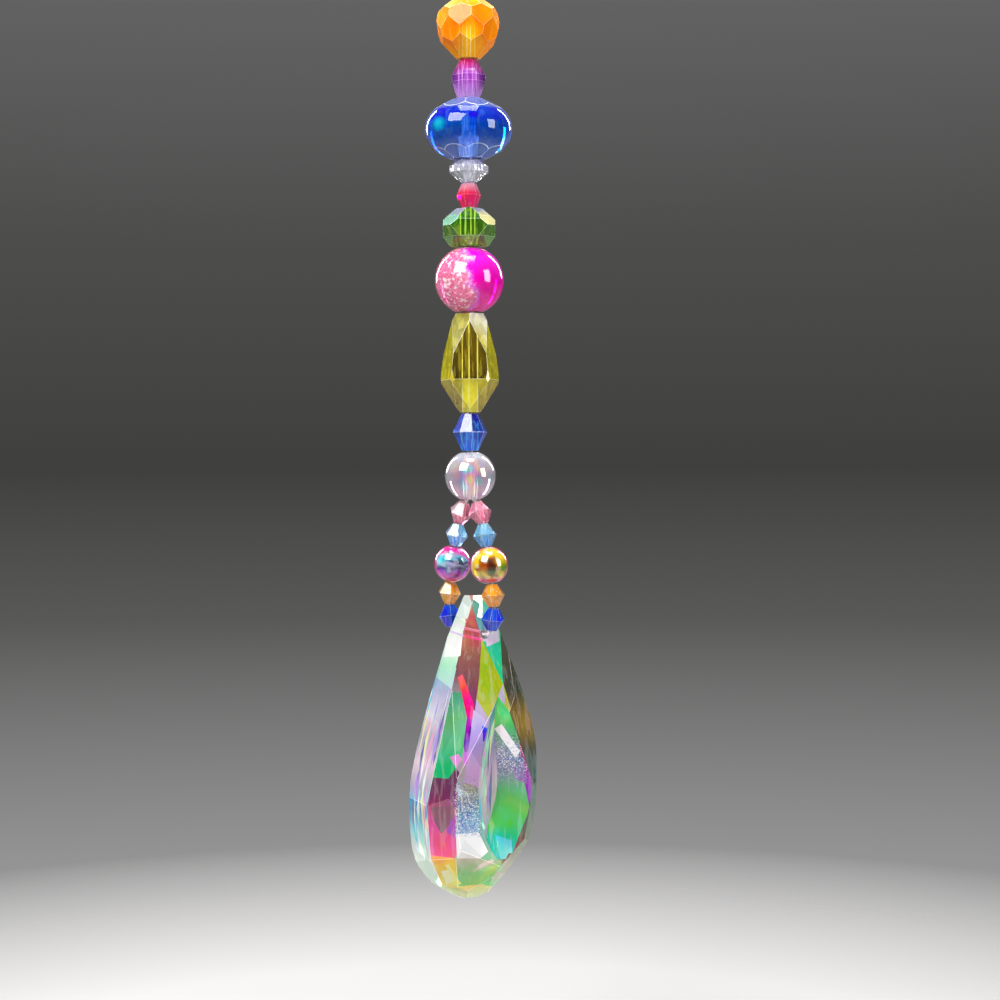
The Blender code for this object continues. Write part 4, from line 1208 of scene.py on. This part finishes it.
def make_world():
    world = bpy.data.worlds.new("studio")
    bpy.context.scene.world = world
    world.use_nodes = True
    tree = world.node_tree
    back = tree.nodes["Background"]
    direction = add(tree, "ShaderNodeTexCoord").outputs["Generated"]
    height = add(tree, "ShaderNodeSeparateXYZ", {"Vector": direction}).outputs["Z"]
    ramp = add(tree, "ShaderNodeValToRGB", {"Fac": remap(tree, height, -1.0, 1.0, 0.0, 1.0)})
    stops = ramp.color_ramp.elements
    stops[0].position = 0.40
    stops[0].color = (0.30, 0.30, 0.30, 1.0)
    stops[1].position = 0.95
    stops[1].color = (0.40, 0.40, 0.41, 1.0)
    for position, grey in ((0.46, 0.10), (0.50, 0.05), (0.56, 0.075)):
        stop = stops.new(position)
        stop.color = (grey, grey, grey * 0.98, 1.0)
    tree.links.new(ramp.outputs["Color"], back.inputs["Color"])


def around(azimuth, elevation, distance):
    """A place round the object's middle. Azimuth 0 is towards -Y and 90 towards +X."""
    a, e = math.radians(azimuth), math.radians(elevation)
    out = Vector((math.sin(a) * math.cos(e), -math.cos(a) * math.cos(e), math.sin(e)))
    return Vector((0, 0, VIEW_MIDDLE)) + out * distance


# Name, degrees round from the camera, degrees up, distance, width and height in metres, and watts
LIGHTS = [
    ("key", -38, 42, 0.55, 0.34, 0.34, 6.2),
    ("fill", 63, 14, 0.60, 0.22, 0.36, 3.4),
    ("back_left", 218, 24, 0.55, 0.05, 0.36, 1.8),
    ("back_right", 138, 28, 0.55, 0.05, 0.36, 1.8),
    ("top", 0, 84, 0.45, 0.22, 0.22, 1.7),
]


def make_lights():
    for name, turn, elevation, distance, width, height, watts in LIGHTS:
        data = bpy.data.lights.new(name, "AREA")
        data.shape = "RECTANGLE"
        data.size = width
        data.size_y = height
        data.energy = watts
        light = new_object(name, data)
        light.location = around(CAMERA_AZIMUTH + turn, elevation, distance)
        aim = Vector((0, 0, VIEW_MIDDLE)) - light.location
        light.rotation_euler = aim.to_track_quat("-Z", "Y").to_euler()


def make_camera():
    data = bpy.data.cameras.new("camera")
    camera = new_object("camera", data)
    camera.location = around(CAMERA_AZIMUTH, CAMERA_ELEVATION, CAMERA_DISTANCE)
    out = camera.location - Vector((0, 0, VIEW_MIDDLE))
    camera.rotation_euler = out.to_track_quat("Z", "Y").to_euler()
    camera.rotation_euler.rotate_axis("Z", math.radians(CAMERA_ROLL))
    data.sensor_width = SENSOR
    data.lens = SENSOR * CAMERA_DISTANCE / VIEW_HEIGHT
    data.shift_x = STRAND_SHIFT
    data.clip_start = 0.01
    data.clip_end = 20.0
    bpy.context.scene.camera = camera


def render_settings():
    scene = bpy.context.scene
    scene.view_settings.view_transform = "Standard"
    cycles = scene.cycles
    cycles.max_bounces = 24
    cycles.transmission_bounces = 20
    cycles.glossy_bounces = 8
    cycles.transparent_max_bounces = 16
    cycles.use_denoising = True


make_hardware()
make_orange()
make_purple()
make_cobalt()
make_fluted()
make_red()
make_green()
make_crackle()
make_yellow()
make_royal()
make_clear()
make_side_bicones()
make_side_rounds()
make_prism()
make_floor()
make_world()
make_lights()
make_camera()
render_settings()
